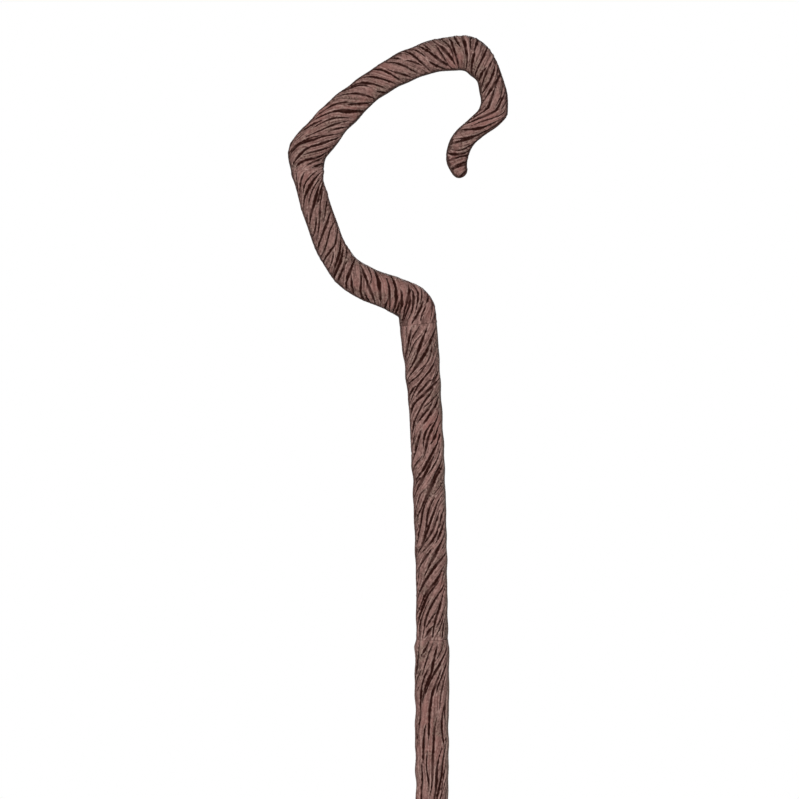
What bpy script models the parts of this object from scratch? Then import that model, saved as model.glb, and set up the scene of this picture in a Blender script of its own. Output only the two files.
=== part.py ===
"""Crook-headed walking staff that pulls apart into four hollow sections.

Each section is moulded as a front and a rear half shell, which meet at a seam in the plane of the crook.
Bark grooves run along the grain of both. Push-fit couplers join the sections end to end, and a plug closes
the foot. Metres and degrees, +Z up: the lower shaft stands on the Z axis, and the crook lies in the XZ plane
and opens towards +X.
"""

import math
from collections import namedtuple

import bmesh
import bpy
import numpy as np
from mathutils import Matrix, Vector

# Lower shaft, from the foot up: tapers out to its rim
FOOT_DIAMETER = 0.034
LOWER_SHAFT_TAPER_LENGTH = 0.198
LOWER_SHAFT_MIDDLE_DIAMETER = 0.0355
LOWER_SHAFT_TOP_LENGTH = 0.145
LOWER_SHAFT_RIM_DIAMETER = 0.0375

# Upper shaft: bows a little to the left and swells up to the neck
UPPER_SHAFT_RIM_DIAMETER = 0.034
UPPER_SHAFT_LENGTH = 0.227
UPPER_SHAFT_TURN = 3
UPPER_SHAFT_DIAMETER = 0.0355
SHAFT_SWELL_LENGTH = 0.113
SHAFT_SWELL_TURN = 3
SHAFT_SWELL_DIAMETER = 0.040

# Bow: turns hard left at the neck, then bends back to upright
BOW_RIM_DIAMETER = 0.0405
BOW_RISE_LENGTH = 0.011
BOW_NECK_LENGTH = 0.020
BOW_NECK_TURN = 59
BOW_NECK_DIAMETER = 0.040
BOW_LEAN_LENGTH = 0.038
BOW_LEAN_TURN = 6
BOW_LEAN_DIAMETER = 0.036
BOW_BEND_LENGTH = 0.067
BOW_BEND_TURN = -48
BOW_BEND_DIAMETER = 0.032
BOW_ARM_LENGTH = 0.071
BOW_ARM_TURN = -9
BOW_ARM_DIAMETER = 0.032
BOW_TOP_LENGTH = 0.013
BOW_TOP_TURN = -10
ELBOW_RIM_DIAMETER = 0.0355

# Hook: turns right at the elbow, over the crown, down to the spur and back to a curled tip
HOOK_RISE_LENGTH = 0.016
HOOK_RISE_DIAMETER = 0.0395
HOOK_ELBOW_LENGTH = 0.007
HOOK_ELBOW_TURN = -42
HOOK_ELBOW_DIAMETER = 0.041
HOOK_FLANK_LENGTH = 0.046
HOOK_FLANK_TURN = -5
HOOK_FLANK_DIAMETER = 0.037
HOOK_WAIST_LENGTH = 0.055
HOOK_WAIST_TURN = -12
HOOK_WAIST_DIAMETER = 0.0305
HOOK_SHOULDER_LENGTH = 0.045
HOOK_SHOULDER_TURN = -11
HOOK_SHOULDER_DIAMETER = 0.0335
HOOK_BROW_LENGTH = 0.057
HOOK_BROW_TURN = -23
HOOK_BROW_DIAMETER = 0.0375
HOOK_CROWN_LENGTH = 0.016
HOOK_CROWN_TURN = -43
HOOK_CROWN_DIAMETER = 0.036
HOOK_FALL_LENGTH = 0.026
HOOK_FALL_TURN = -26
HOOK_FALL_DIAMETER = 0.028
HOOK_DROP_LENGTH = 0.036
HOOK_DROP_TURN = -25
HOOK_DROP_DIAMETER = 0.0295
HOOK_SPUR_LENGTH = 0.002
HOOK_SPUR_TURN = -40
HOOK_SPUR_DIAMETER = 0.0285
HOOK_RETURN_LENGTH = 0.033
HOOK_RETURN_TURN = -11
HOOK_RETURN_DIAMETER = 0.024
HOOK_CURL_LENGTH = 0.025
HOOK_CURL_TURN = 39
HOOK_CURL_DIAMETER = 0.025
HOOK_TIP_LENGTH = 0.022
HOOK_TIP_TURN = 38
HOOK_TIP_DIAMETER = 0.016

# Corners: half the stretch over which a rib swings round one, and how far its outside fills the mitre
CORNER_BLEND = 0.013
CORNER_FILL = 0.8

# Half shells
SHELL_WALL = 0.0026
SEAM_GAP = 0.0003
RIM_GAP = 0.0003
TIP_SOLID_LENGTH = 0.026
TIP_DOME_ANGLE = 78

# Sockets and the couplers in them
SHAFT_SOCKET_WALL = 0.0028
SHAFT_DEPTH_BELOW = 0.030
SHAFT_DEPTH_ABOVE = 0.026
NECK_SOCKET_WALL = 0.0052
NECK_DEPTH_BELOW = 0.030
NECK_DEPTH_ABOVE = 0.020
ELBOW_SOCKET_WALL = 0.0054
ELBOW_DEPTH_BELOW = 0.018
ELBOW_DEPTH_ABOVE = 0.0165
COUPLER_WALL = 0.0028
COUPLER_CHAMFER = 0.001
COUPLER_CLEARANCE = 0.00015
STOP_GAP = 0.0003
LEDGE_WIDTH = 0.0025
LEDGE_LENGTH = 0.003
LEDGE_TAPER = 0.004
LEDGE_MOUTH = 0.45

# Foot plug
FOOT_THICKNESS = 0.005
FOOT_CHAMFER = 0.0015
FOOT_SOCKET_WALL = 0.004
FOOT_SOCKET_DEPTH = 0.018
PLUG_WALL = 0.0026

# Bosses that hold the two shells of a section in line
BOSS_RADIUS = 0.0034
BOSS_PITCH = 0.090
PEG_RADIUS = 0.0015
PEG_LENGTH = 0.003
PEG_CLEARANCE = 0.0002
PEG_END_GAP = 0.0005

# Bark grooves: V cuts that keep off the rims, the outer seam and a bare strip beside the inner seam
GROOVE_WIDTH = 0.0044
GROOVE_DEPTH = 0.0015
GROOVE_REACH = 0.024
GROOVE_LEAST_LENGTH = 0.018
GROOVE_SPACING = 0.0125
GROOVE_END_GAP = 0.0062
GROOVE_RIM_MARGIN = 0.004
GROOVE_SEAM_MARGIN = 0.002
LAND_WIDTH = 0.0085
GROOVE_SWING = 5
GROOVE_CURL = 0.5
GROOVE_TRIES = 1500
LOWER_SHAFT_SEED = 7
UPPER_SHAFT_SEED = 8
BOW_SEED = 9
HOOK_SEED = 10

# Grain against the section's heading: distance from the lower rim, degrees to the left, and how many more
# degrees to the left the outer edge has than the inner edge
LOWER_SHAFT_GRAIN = (
    (0.0, -4, 10),
    (0.200, -8, 16),
    (0.245, -1, 4),
    (0.280, -9, 6),
    (0.305, -27, 8),
    (0.343, -17, 16),
)
UPPER_SHAFT_GRAIN = (
    (0.0, -12, 4),
    (0.040, -33, 4),
    (0.090, -34, -4),
    (0.125, -28, 0),
    (0.165, -37, 0),
    (0.205, -30, 0),
    (0.245, -34, 0),
    (0.285, -54, 8),
    (0.315, -30, 6),
    (0.340, -22, 6),
)
BOW_GRAIN = (
    (0.0, -24, -20),
    (0.025, -60, -18),
    (0.045, -69, -20),
    (0.070, -55, 0),
    (0.088, -54, 0),
    (0.108, -65, 0),
    (0.130, -50, -20),
    (0.150, -46, -4),
    (0.170, -41, 18),
    (0.190, -36, 10),
    (0.220, -41, 22),
)
HOOK_GRAIN = (
    (0.0, -75, 34),
    (0.012, -65, 34),
    (0.025, -29, 30),
    (0.050, -39, 24),
    (0.085, -41, 24),
    (0.110, -51, 30),
    (0.150, -55, 20),
    (0.180, -54, -16),
    (0.205, -58, -14),
    (0.228, -82, 0),
    (0.245, -68, -12),
    (0.270, -56, -12),
    (0.290, -39, 0),
    (0.308, -14, 4),
    (0.328, -20, 8),
    (0.350, -49, 0),
    (0.370, -72, -4),
    (0.410, -84, 0),
)

# Facets
HALF_SIDES = 8
HOLLOW_SIDES = 10
SOCKET_SIDES = 28
BOSS_SIDES = 8
PATH_STEP = 0.001
LEAST_STEPS = 8
TIP_DOME_STEPS = 9
GROOVE_STEP = 0.002
GROOVE_PITCH = 0.024
GROOVE_TURN = 30
LEAST_SECTIONS = 4
GROOVE_LIFT = 0.0008
LEAST_STRETCH = 0.3
RING_TURN = 10
RING_PITCH = 0.040
RING_SWELL = 0.006
CUT_OVERLAP = 0.001
SHARP_ANGLE = 35

# Finishes: linear base colour, roughness
BARK_BROWN = (0.165, 0.088, 0.075), 0.62
COUPLER_BROWN = (0.060, 0.033, 0.027), 0.50
FOOT_BROWN = (0.035, 0.022, 0.019), 0.80

# One stretch of a section: its length, its turn to the left and its diameter at the far end
Run = namedtuple("Run", "length turn diameter")

LOWER_SHAFT_RUNS = (
    Run(LOWER_SHAFT_TAPER_LENGTH, 0, LOWER_SHAFT_MIDDLE_DIAMETER),
    Run(LOWER_SHAFT_TOP_LENGTH, 0, LOWER_SHAFT_RIM_DIAMETER),
)
UPPER_SHAFT_RUNS = (
    Run(UPPER_SHAFT_LENGTH, UPPER_SHAFT_TURN, UPPER_SHAFT_DIAMETER),
    Run(SHAFT_SWELL_LENGTH, SHAFT_SWELL_TURN, SHAFT_SWELL_DIAMETER),
)
BOW_RUNS = (
    Run(BOW_RISE_LENGTH, 0, BOW_RIM_DIAMETER),
    Run(BOW_NECK_LENGTH, BOW_NECK_TURN, BOW_NECK_DIAMETER),
    Run(BOW_LEAN_LENGTH, BOW_LEAN_TURN, BOW_LEAN_DIAMETER),
    Run(BOW_BEND_LENGTH, BOW_BEND_TURN, BOW_BEND_DIAMETER),
    Run(BOW_ARM_LENGTH, BOW_ARM_TURN, BOW_ARM_DIAMETER),
    Run(BOW_TOP_LENGTH, BOW_TOP_TURN, ELBOW_RIM_DIAMETER),
)
HOOK_RUNS = (
    Run(HOOK_RISE_LENGTH, 0, HOOK_RISE_DIAMETER),
    Run(HOOK_ELBOW_LENGTH, HOOK_ELBOW_TURN, HOOK_ELBOW_DIAMETER),
    Run(HOOK_FLANK_LENGTH, HOOK_FLANK_TURN, HOOK_FLANK_DIAMETER),
    Run(HOOK_WAIST_LENGTH, HOOK_WAIST_TURN, HOOK_WAIST_DIAMETER),
    Run(HOOK_SHOULDER_LENGTH, HOOK_SHOULDER_TURN, HOOK_SHOULDER_DIAMETER),
    Run(HOOK_BROW_LENGTH, HOOK_BROW_TURN, HOOK_BROW_DIAMETER),
    Run(HOOK_CROWN_LENGTH, HOOK_CROWN_TURN, HOOK_CROWN_DIAMETER),
    Run(HOOK_FALL_LENGTH, HOOK_FALL_TURN, HOOK_FALL_DIAMETER),
    Run(HOOK_DROP_LENGTH, HOOK_DROP_TURN, HOOK_DROP_DIAMETER),
    Run(HOOK_SPUR_LENGTH, HOOK_SPUR_TURN, HOOK_SPUR_DIAMETER),
    Run(HOOK_RETURN_LENGTH, HOOK_RETURN_TURN, HOOK_RETURN_DIAMETER),
    Run(HOOK_CURL_LENGTH, HOOK_CURL_TURN, HOOK_CURL_DIAMETER),
    Run(HOOK_TIP_LENGTH, HOOK_TIP_TURN, HOOK_TIP_DIAMETER),
)

# Bore radius and how far the coupler reaches into the section below and the one above
Joint = namedtuple("Joint", "point heading bore below above")


def on_heading(heading):
    """The unit vector in the XZ plane at an angle from +X towards +Z."""
    angle = math.radians(heading)
    return Vector((math.cos(angle), 0, math.sin(angle)))


class Section:
    """A centreline of arcs in the XZ plane, with its diameters and the headings of its cross-section ribs."""

    def __init__(self, start, heading, diameter, runs, domed=False):
        columns = []
        place = np.array((start.x, start.z))
        travelled = 0.0
        for run in runs:
            count = max(LEAST_STEPS, math.ceil(run.length / PATH_STEP))
            share = np.arange(count) / count
            middle = np.radians(heading + run.turn * (share + 0.5 / count))
            moves = np.stack((np.cos(middle), np.sin(middle)), 1) * run.length / count
            corners = place + np.concatenate((np.zeros((1, 2)), np.cumsum(moves, 0)))
            swell = diameter + (run.diameter - diameter) * share * share * (3 - 2 * share)
            along = travelled + run.length * share
            columns.append(np.column_stack((along, corners[:-1], heading + run.turn * share, swell)))
            place = corners[-1]
            travelled += run.length
            heading += run.turn
            diameter = run.diameter
        if domed:
            rise = np.linspace(0, math.radians(TIP_DOME_ANGLE), TIP_DOME_STEPS)
            ahead = diameter / 2 * np.sin(rise)
            line = np.array(on_heading(heading).xz)
            places = place + ahead[:, None] * line
            headings = np.full_like(rise, heading)
            columns.append(np.column_stack((travelled + ahead, places, headings, diameter * np.cos(rise))))
        else:
            columns.append(np.array([[travelled, *place, heading, diameter]]))
        self.stations = np.concatenate(columns)
        self.length = travelled
        self.end = Vector((place[0], 0, place[1]))
        self.end_heading = heading
        self.start_radius = self.stations[0, 4] / 2
        self.end_radius = diameter / 2
        self.ribs = self.rib_headings()

    def rib_headings(self):
        """Each station's heading averaged over the corner blend around it, which shrinks to 0 at the rims."""
        distance = self.stations[:, 0]
        heading = self.stations[:, 3]
        strips = np.diff(distance) * (heading[1:] + heading[:-1]) / 2
        total = np.concatenate(([0], np.cumsum(strips)))
        reach = np.minimum(CORNER_BLEND, np.minimum(distance, distance[-1] - distance))
        ahead = np.interp(distance + reach, distance, total)
        behind = np.interp(distance - reach, distance, total)
        inner = reach > PATH_STEP / 2
        ribs = heading.copy()
        ribs[inner] = (ahead - behind)[inner] / (2 * reach[inner])
        return ribs

    def rings(self, distances):
        """Centres, rib directions, half widths across the plane and half depths at these distances."""
        columns = [np.interp(distances, self.stations[:, 0], self.stations[:, i]) for i in range(1, 5)]
        x, z, heading, diameter = columns
        rib = np.radians(np.interp(distances, self.stations[:, 0], self.ribs))
        mitre = 1 / np.cos(np.radians(heading) - rib) - 1
        depth = diameter / 2
        width = depth * (1 + CORNER_FILL * mitre)
        return np.stack((x, z), 1), np.stack((-np.sin(rib), np.cos(rib)), 1), width, depth

    def ring_distances(self, first, last):
        """Distances from first to last, closer where the section turns or swells."""
        distance = self.stations[:, 0]
        turn = np.abs(np.diff(self.ribs)) / RING_TURN
        swell = np.abs(np.diff(self.stations[:, 4])) / RING_SWELL
        need = np.concatenate(([0], np.cumsum(turn + swell + np.diff(distance) / RING_PITCH)))
        low, high = np.interp((first, last), distance, need)
        count = max(2, math.ceil(high - low) + 1)
        chosen = np.interp(np.linspace(low, high, count), need, distance)
        chosen[0], chosen[-1] = first, last
        return chosen

    def surface(self, distances, angle, side):
        """Points on the outside, and the outward normals there: the angle runs from outer to inner seam."""
        centres, ribs, width, depth = self.rings(distances)
        across, out = np.cos(angle), side * np.sin(angle)
        flat = centres + ribs * (width * across)[:, None]
        points = np.stack((flat[:, 0], side * SEAM_GAP / 2 + depth * out, flat[:, 1]), 1)
        lean = across / width
        normals = np.stack((ribs[:, 0] * lean, out / depth, ribs[:, 1] * lean), 1)
        return points, normals / np.linalg.norm(normals, axis=1)[:, None]

    def grain_steps(self, distances, angle, grain, side, turn):
        """Changes of distance and angle for a metre along the grain, turned by some degrees to the left."""
        table = np.array(grain)
        lean, spread = (np.interp(distances, table[:, 0], table[:, i]) for i in (1, 2))
        heading = np.radians(lean + spread * np.cos(angle) / 2 + turn)
        _, _, width, depth = self.rings(distances)
        bends = np.gradient(np.radians(self.ribs), self.stations[:, 0])
        bend = np.interp(distances, self.stations[:, 0], bends)
        stretch = np.maximum(1 - bend * width * np.cos(angle), LEAST_STRETCH)
        return np.cos(heading) / stretch, side * np.sin(heading) * 2 / (width + depth)

    def point(self, distance):
        """The centreline's place at a distance."""
        x = np.interp(distance, self.stations[:, 0], self.stations[:, 1])
        z = np.interp(distance, self.stations[:, 0], self.stations[:, 2])
        return Vector((x, 0, z))

    def depth(self, distance):
        """The section's half depth at a distance."""
        return np.interp(distance, self.stations[:, 0], self.stations[:, 4]) / 2


def mesh_object(name, points, faces):
    """A closed mesh object with its faces pointing out, smooth except at sharp edges."""
    mesh = bpy.data.meshes.new(name)
    mesh.from_pydata([tuple(point) for point in points], [], faces)
    shape = bmesh.new()
    shape.from_mesh(mesh)
    bmesh.ops.recalc_face_normals(shape, faces=shape.faces)
    shape.to_mesh(mesh)
    shape.free()
    mesh.shade_smooth()
    mesh.set_sharp_from_angle(angle=math.radians(SHARP_ANGLE))
    obj = bpy.data.objects.new(name, mesh)
    bpy.context.scene.collection.objects.link(obj)
    return obj


def loft(name, loops):
    """A closed mesh through loops of equally many points, with a flat cap on each end."""
    count, around = loops.shape[:2]
    faces = []
    for i in range(count - 1):
        for j in range(around):
            k = (j + 1) % around
            faces.append((i * around + j, i * around + k, (i + 1) * around + k, (i + 1) * around + j))
    faces.append(tuple(range(around)))
    faces.append(tuple((count - 1) * around + j for j in range(around)))
    return mesh_object(name, loops.reshape(-1, 3), faces)


def turned(name, profile, place, sides, closed_loop=False):
    """A shape turned about the local Z axis from (radius, height) points, moved to its place.

    A closed loop makes a ring; an open profile is capped flat at both ends.
    """
    angle = np.arange(sides) * 2 * math.pi / sides
    circle = np.stack((np.cos(angle), np.sin(angle)), 1)
    points = [place @ Vector((r * c, r * s, h)) for r, h in profile for c, s in circle]
    count = len(profile)
    faces = []
    for i in range(count if closed_loop else count - 1):
        low = i * sides
        high = (i + 1) % count * sides
        for j in range(sides):
            k = (j + 1) % sides
            faces.append((low + j, low + k, high + k, high + j))
    if not closed_loop:
        faces.append(tuple(range(sides)))
        faces.append(tuple((count - 1) * sides + j for j in range(sides)))
    return mesh_object(name, points, faces)


def as_helper(obj):
    """Keeps a cutting or joining shape out of the finished object."""
    obj.hide_render = True
    obj.display_type = "WIRE"
    return obj


def joint_frame(joint):
    """The matrix whose origin is a joint's centre and whose Z axis is the joint's axis."""
    axis = on_heading(joint.heading)
    side = Vector((0, 1, 0))
    across = side.cross(axis)
    frame = Matrix((across, side, axis)).transposed().to_4x4()
    frame.translation = joint.point
    return frame


def make_joint(lower, upper, wall, below, above):
    """The socket between two sections, bored to leave a wall inside the slimmer of their rims."""
    bore = min(lower.end_radius, upper.start_radius) - wall
    return Joint(lower.end, lower.end_heading, bore, below, above)


def next_start(section):
    """Where the section above begins: a rim gap past this section's end."""
    return section.end + on_heading(section.end_heading) * RIM_GAP


def snug(bore):
    """The radius that turns freely inside a faceted bore."""
    return bore * math.cos(math.pi / SOCKET_SIDES) - COUPLER_CLEARANCE


def bore_cutter(name, joint):
    """The round socket through both rims of a joint, with a neck past each end that leaves a stop ledge."""
    neck = joint.bore - LEDGE_WIDTH
    low = -joint.below
    high = joint.above + RIM_GAP
    profile = (
        (neck, low - LEDGE_LENGTH),
        (neck, low),
        (joint.bore, low),
        (joint.bore, high),
        (neck, high),
        (neck, high + LEDGE_LENGTH),
    )
    place = joint_frame(joint)
    return as_helper(turned(name, profile, place, SOCKET_SIDES))


def hollow_cutter(name, section, start_depth, start_bore, end_depth, end_bore):
    """The inside of a section, which tapers at each end to a mouth inside a socket's neck.

    An end with no socket is closed by a solid length of the section.
    """
    low = start_depth + LEDGE_LENGTH + LEDGE_TAPER
    if end_bore is None:
        high = section.length - end_depth
    else:
        high = section.length - end_depth - LEDGE_LENGTH - LEDGE_TAPER
    distances = section.ring_distances(low, high)
    centres, ribs, widths, depths = section.rings(distances)
    widths = widths - SHELL_WALL
    depths = depths - SHELL_WALL

    def mouth(at, bore):
        mouth_centres, mouth_ribs, _, _ = section.rings(np.array([at]))
        radius = np.array([(bore - LEDGE_WIDTH) * LEDGE_MOUTH])
        return mouth_centres, mouth_ribs, radius, radius

    parts = [mouth(start_depth + CUT_OVERLAP, start_bore), (centres, ribs, widths, depths)]
    if end_bore is not None:
        parts.append(mouth(section.length - end_depth - CUT_OVERLAP, end_bore))
    centres, ribs, widths, depths = (np.concatenate(columns) for columns in zip(*parts))
    angle = np.arange(HOLLOW_SIDES) * 2 * math.pi / HOLLOW_SIDES
    across = widths[:, None] * np.cos(angle)
    x = centres[:, :1] + ribs[:, :1] * across
    z = centres[:, 1:] + ribs[:, 1:] * across
    y = depths[:, None] * np.sin(angle)
    return as_helper(loft(name, np.stack((x, y, z), 2))), low, high


def half_tube(name, section, side):
    """The solid front (side -1) or rear (side +1) half of a section, flat at the seam."""
    distances = section.ring_distances(0, section.stations[-1, 0])
    centres, ribs, widths, depths = section.rings(distances)
    angle = np.linspace(0, math.pi, HALF_SIDES + 1)
    across = widths[:, None] * np.cos(angle)
    x = centres[:, :1] + ribs[:, :1] * across
    z = centres[:, 1:] + ribs[:, 1:] * across
    y = side * (SEAM_GAP / 2 + depths[:, None] * np.sin(angle))
    return loft(name, np.stack((x, y, z), 2))


def groove_lines(section, grain, side, seed):
    """Lines along the grain, as arrays of distance and angle.

    Starts are tried in turn. One that lies close to an older line is passed over, and a line ends where it
    comes near an older one, a rim, the outer seam or the bare strip.
    """
    rng = np.random.default_rng((seed, side + 1))
    starts = rng.uniform((0, 0), (section.length, math.pi), (GROOVE_TRIES, 2)).T
    swing = rng.normal(0, GROOVE_SWING, GROOVE_TRIES)
    curl = rng.normal(0, GROOVE_CURL, GROOVE_TRIES)
    steps = round(GROOVE_REACH / GROOVE_STEP)
    halves = []
    for sense in (-1, 1):
        place = starts
        half = []
        for k in range(steps):
            moves = section.grain_steps(*place, grain, side, swing + sense * curl * k)
            place = place + sense * GROOVE_STEP * np.array(moves)
            half.append(place)
        halves.append(half)
    traced = np.array(halves[0][::-1] + [starts] + halves[1])
    lines = []
    taken = np.full((1, 3), np.inf)
    for distances, angle in zip(traced[:, 0].T, traced[:, 1].T):
        radius = section.depth(distances)
        rim = np.minimum(distances, section.length - distances)
        seam = np.minimum(angle * radius - GROOVE_SEAM_MARGIN, (math.pi - angle) * radius - LAND_WIDTH)
        points, _ = section.surface(distances, angle, side)
        room = np.linalg.norm(points[:, None] - taken, axis=2).min(1)
        free = (rim > GROOVE_RIM_MARGIN) & (seam > 0) & (room > GROOVE_END_GAP)
        if not free[steps] or room[steps] < GROOVE_SPACING:
            continue
        first = steps - np.argmin(np.append(free[steps::-1], False)) + 1
        last = steps + np.argmin(np.append(free[steps:], False))
        if (last - first) * GROOVE_STEP < GROOVE_LEAST_LENGTH:
            continue
        lines.append((distances[first:last], angle[first:last]))
        taken = np.concatenate((taken, points[first:last]))
    return lines


def groove_cutter(name, section, grain, side, seed):
    """A wedge along every groove line: V sections that widen and deepen from one pointed end and back."""
    points = []
    faces = []
    for line in groove_lines(section, grain, side, seed):
        _, normals = section.surface(*line, side)
        turn = np.degrees(np.linalg.norm(np.diff(normals, axis=0), axis=1))
        need = np.concatenate(([0], np.cumsum(turn / GROOVE_TURN + GROOVE_STEP / GROOVE_PITCH)))
        count = max(LEAST_SECTIONS, math.ceil(need[-1]) + 1)
        even = np.linspace(0, need[-1], count)
        distances, angle = (np.interp(even, need, row) for row in line)
        share = np.interp(even, need, np.linspace(0, 1, len(need)))
        middle, out = section.surface(distances, angle, side)
        ahead = np.gradient(middle, axis=0)
        across = np.cross(out, ahead / np.linalg.norm(ahead, axis=1)[:, None])
        size = np.sqrt(np.sin(math.pi * share))[1:-1, None]
        top = middle + out * GROOVE_LIFT
        spread = across[1:-1] * size * GROOVE_WIDTH / 2 * (1 + GROOVE_LIFT / GROOVE_DEPTH)
        bottom = middle[1:-1] - out[1:-1] * GROOVE_DEPTH * size
        rings = np.stack((top[1:-1] - spread, top[1:-1] + spread, bottom), 1).reshape(-1, 3)
        start = len(points)
        points += [top[0], *rings, top[-1]]
        for k in range(3):
            here = start + 1 + k
            near = start + 1 + (k + 1) % 3
            far = 3 * (count - 3)
            faces.append((start, near, here))
            for i in range(0, far, 3):
                faces.append((here + i, near + i, near + i + 3))
                faces.append((here + i, near + i + 3, here + i + 3))
            faces.append((here + far, near + far, start + far + 4))
    return as_helper(mesh_object(name, points, faces))


def boss_places(low, high):
    """Evenly spaced distances along a hollow, about a boss pitch apart and half a pitch from its ends."""
    count = max(1, round((high - low) / BOSS_PITCH))
    pitch = (high - low) / count
    return [low + pitch * (i + 0.5) for i in range(count)]


def bosses(name, section, places, side):
    """Posts from a shell's wall to the seam: the front ones carry pegs, the rear ones have holes for them."""
    posts = []
    for i, distance in enumerate(places):
        root = SHELL_WALL / 2 - section.depth(distance)
        seam = -SEAM_GAP / 2
        if side < 0:
            tip = PEG_LENGTH + SEAM_GAP / 2
            profile = ((BOSS_RADIUS, root), (BOSS_RADIUS, seam), (PEG_RADIUS, seam), (PEG_RADIUS, tip))
        else:
            hole = PEG_RADIUS + PEG_CLEARANCE
            floor = seam - PEG_LENGTH - PEG_END_GAP
            profile = ((BOSS_RADIUS, root), (BOSS_RADIUS, seam), (hole, seam), (hole, floor))
        turn = Matrix.Rotation(math.radians(90 * side), 4, "X")
        place = Matrix.Translation(section.point(distance)) @ turn
        posts.append(as_helper(turned(f"{name}_{i + 1}", profile, place, BOSS_SIDES)))
    return posts


def plastic(obj, finish):
    """Gives a piece its own moulded-plastic material."""
    colour, roughness = finish
    material = bpy.data.materials.new(f"{obj.name}_plastic")
    material.use_nodes = True
    shader = material.node_tree.nodes["Principled BSDF"]
    shader.inputs["Base Color"].default_value = (*colour, 1)
    shader.inputs["Roughness"].default_value = roughness
    shader.inputs["Metallic"].default_value = 0
    obj.data.materials.append(material)


def carry(obj, frame):
    """Hangs a piece on a joint's empty, with the piece's origin at the joint."""
    obj.data.transform(frame.matrix_world.inverted())
    obj.parent = frame


def combine(obj, other, operation):
    """Cuts a helper from a piece or joins it on."""
    modifier = obj.modifiers.new(other.name, "BOOLEAN")
    modifier.operation = operation
    modifier.solver = "EXACT"
    modifier.object = other


def make_section(name, section, frame, cutters, hollow, grain, seed):
    """The front and rear shells of a section."""
    inside, low, high = hollow
    places = boss_places(low, high)
    for end, side in (("front", -1), ("rear", 1)):
        shell = half_tube(f"{name}_{end}_shell", section, side)
        grooves = groove_cutter(f"{name}_{end}_grooves", section, grain, side, seed)
        for cutter in (grooves, inside, *cutters):
            combine(shell, cutter, "DIFFERENCE")
        for post in bosses(f"{name}_{end}_boss", section, places, side):
            combine(shell, post, "UNION")
        plastic(shell, BARK_BROWN)
        carry(shell, frame)


def make_coupler(name, joint, frame):
    """A push-fit sleeve that stops short of the ledges in the sections it joins."""
    outer = snug(joint.bore)
    inner = outer - COUPLER_WALL
    low = STOP_GAP - joint.below
    high = joint.above + RIM_GAP - STOP_GAP
    profile = (
        (inner, low),
        (outer - COUPLER_CHAMFER, low),
        (outer, low + COUPLER_CHAMFER),
        (outer, high - COUPLER_CHAMFER),
        (outer - COUPLER_CHAMFER, high),
        (inner, high),
    )
    place = joint_frame(joint)
    coupler = turned(name, profile, place, SOCKET_SIDES, closed_loop=True)
    plastic(coupler, COUPLER_BROWN)
    carry(coupler, frame)


def make_foot_plug(bore, frame):
    """A flat-bottomed plug: a flange under the shaft's rim and a hollow spigot in its socket."""
    flange = FOOT_DIAMETER / 2
    outer = snug(bore)
    inner = outer - PLUG_WALL
    top = FOOT_THICKNESS + RIM_GAP + FOOT_SOCKET_DEPTH - STOP_GAP
    profile = (
        (flange - FOOT_CHAMFER, 0),
        (flange, FOOT_CHAMFER),
        (flange, FOOT_THICKNESS),
        (outer, FOOT_THICKNESS),
        (outer, top - COUPLER_CHAMFER),
        (outer - COUPLER_CHAMFER, top),
        (inner, top),
        (inner, FOOT_THICKNESS),
    )
    plug = turned("foot_plug", profile, Matrix(), SOCKET_SIDES)
    plastic(plug, FOOT_BROWN)
    carry(plug, frame)


def empty_at(name, matrix, parent=None):
    """An empty on a joint's axis, which carries the pieces above that joint."""
    empty = bpy.data.objects.new(name, None)
    bpy.context.scene.collection.objects.link(empty)
    empty.parent = parent
    empty.matrix_local = parent.matrix_world.inverted() @ matrix if parent else matrix
    bpy.context.view_layer.update()
    return empty


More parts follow.
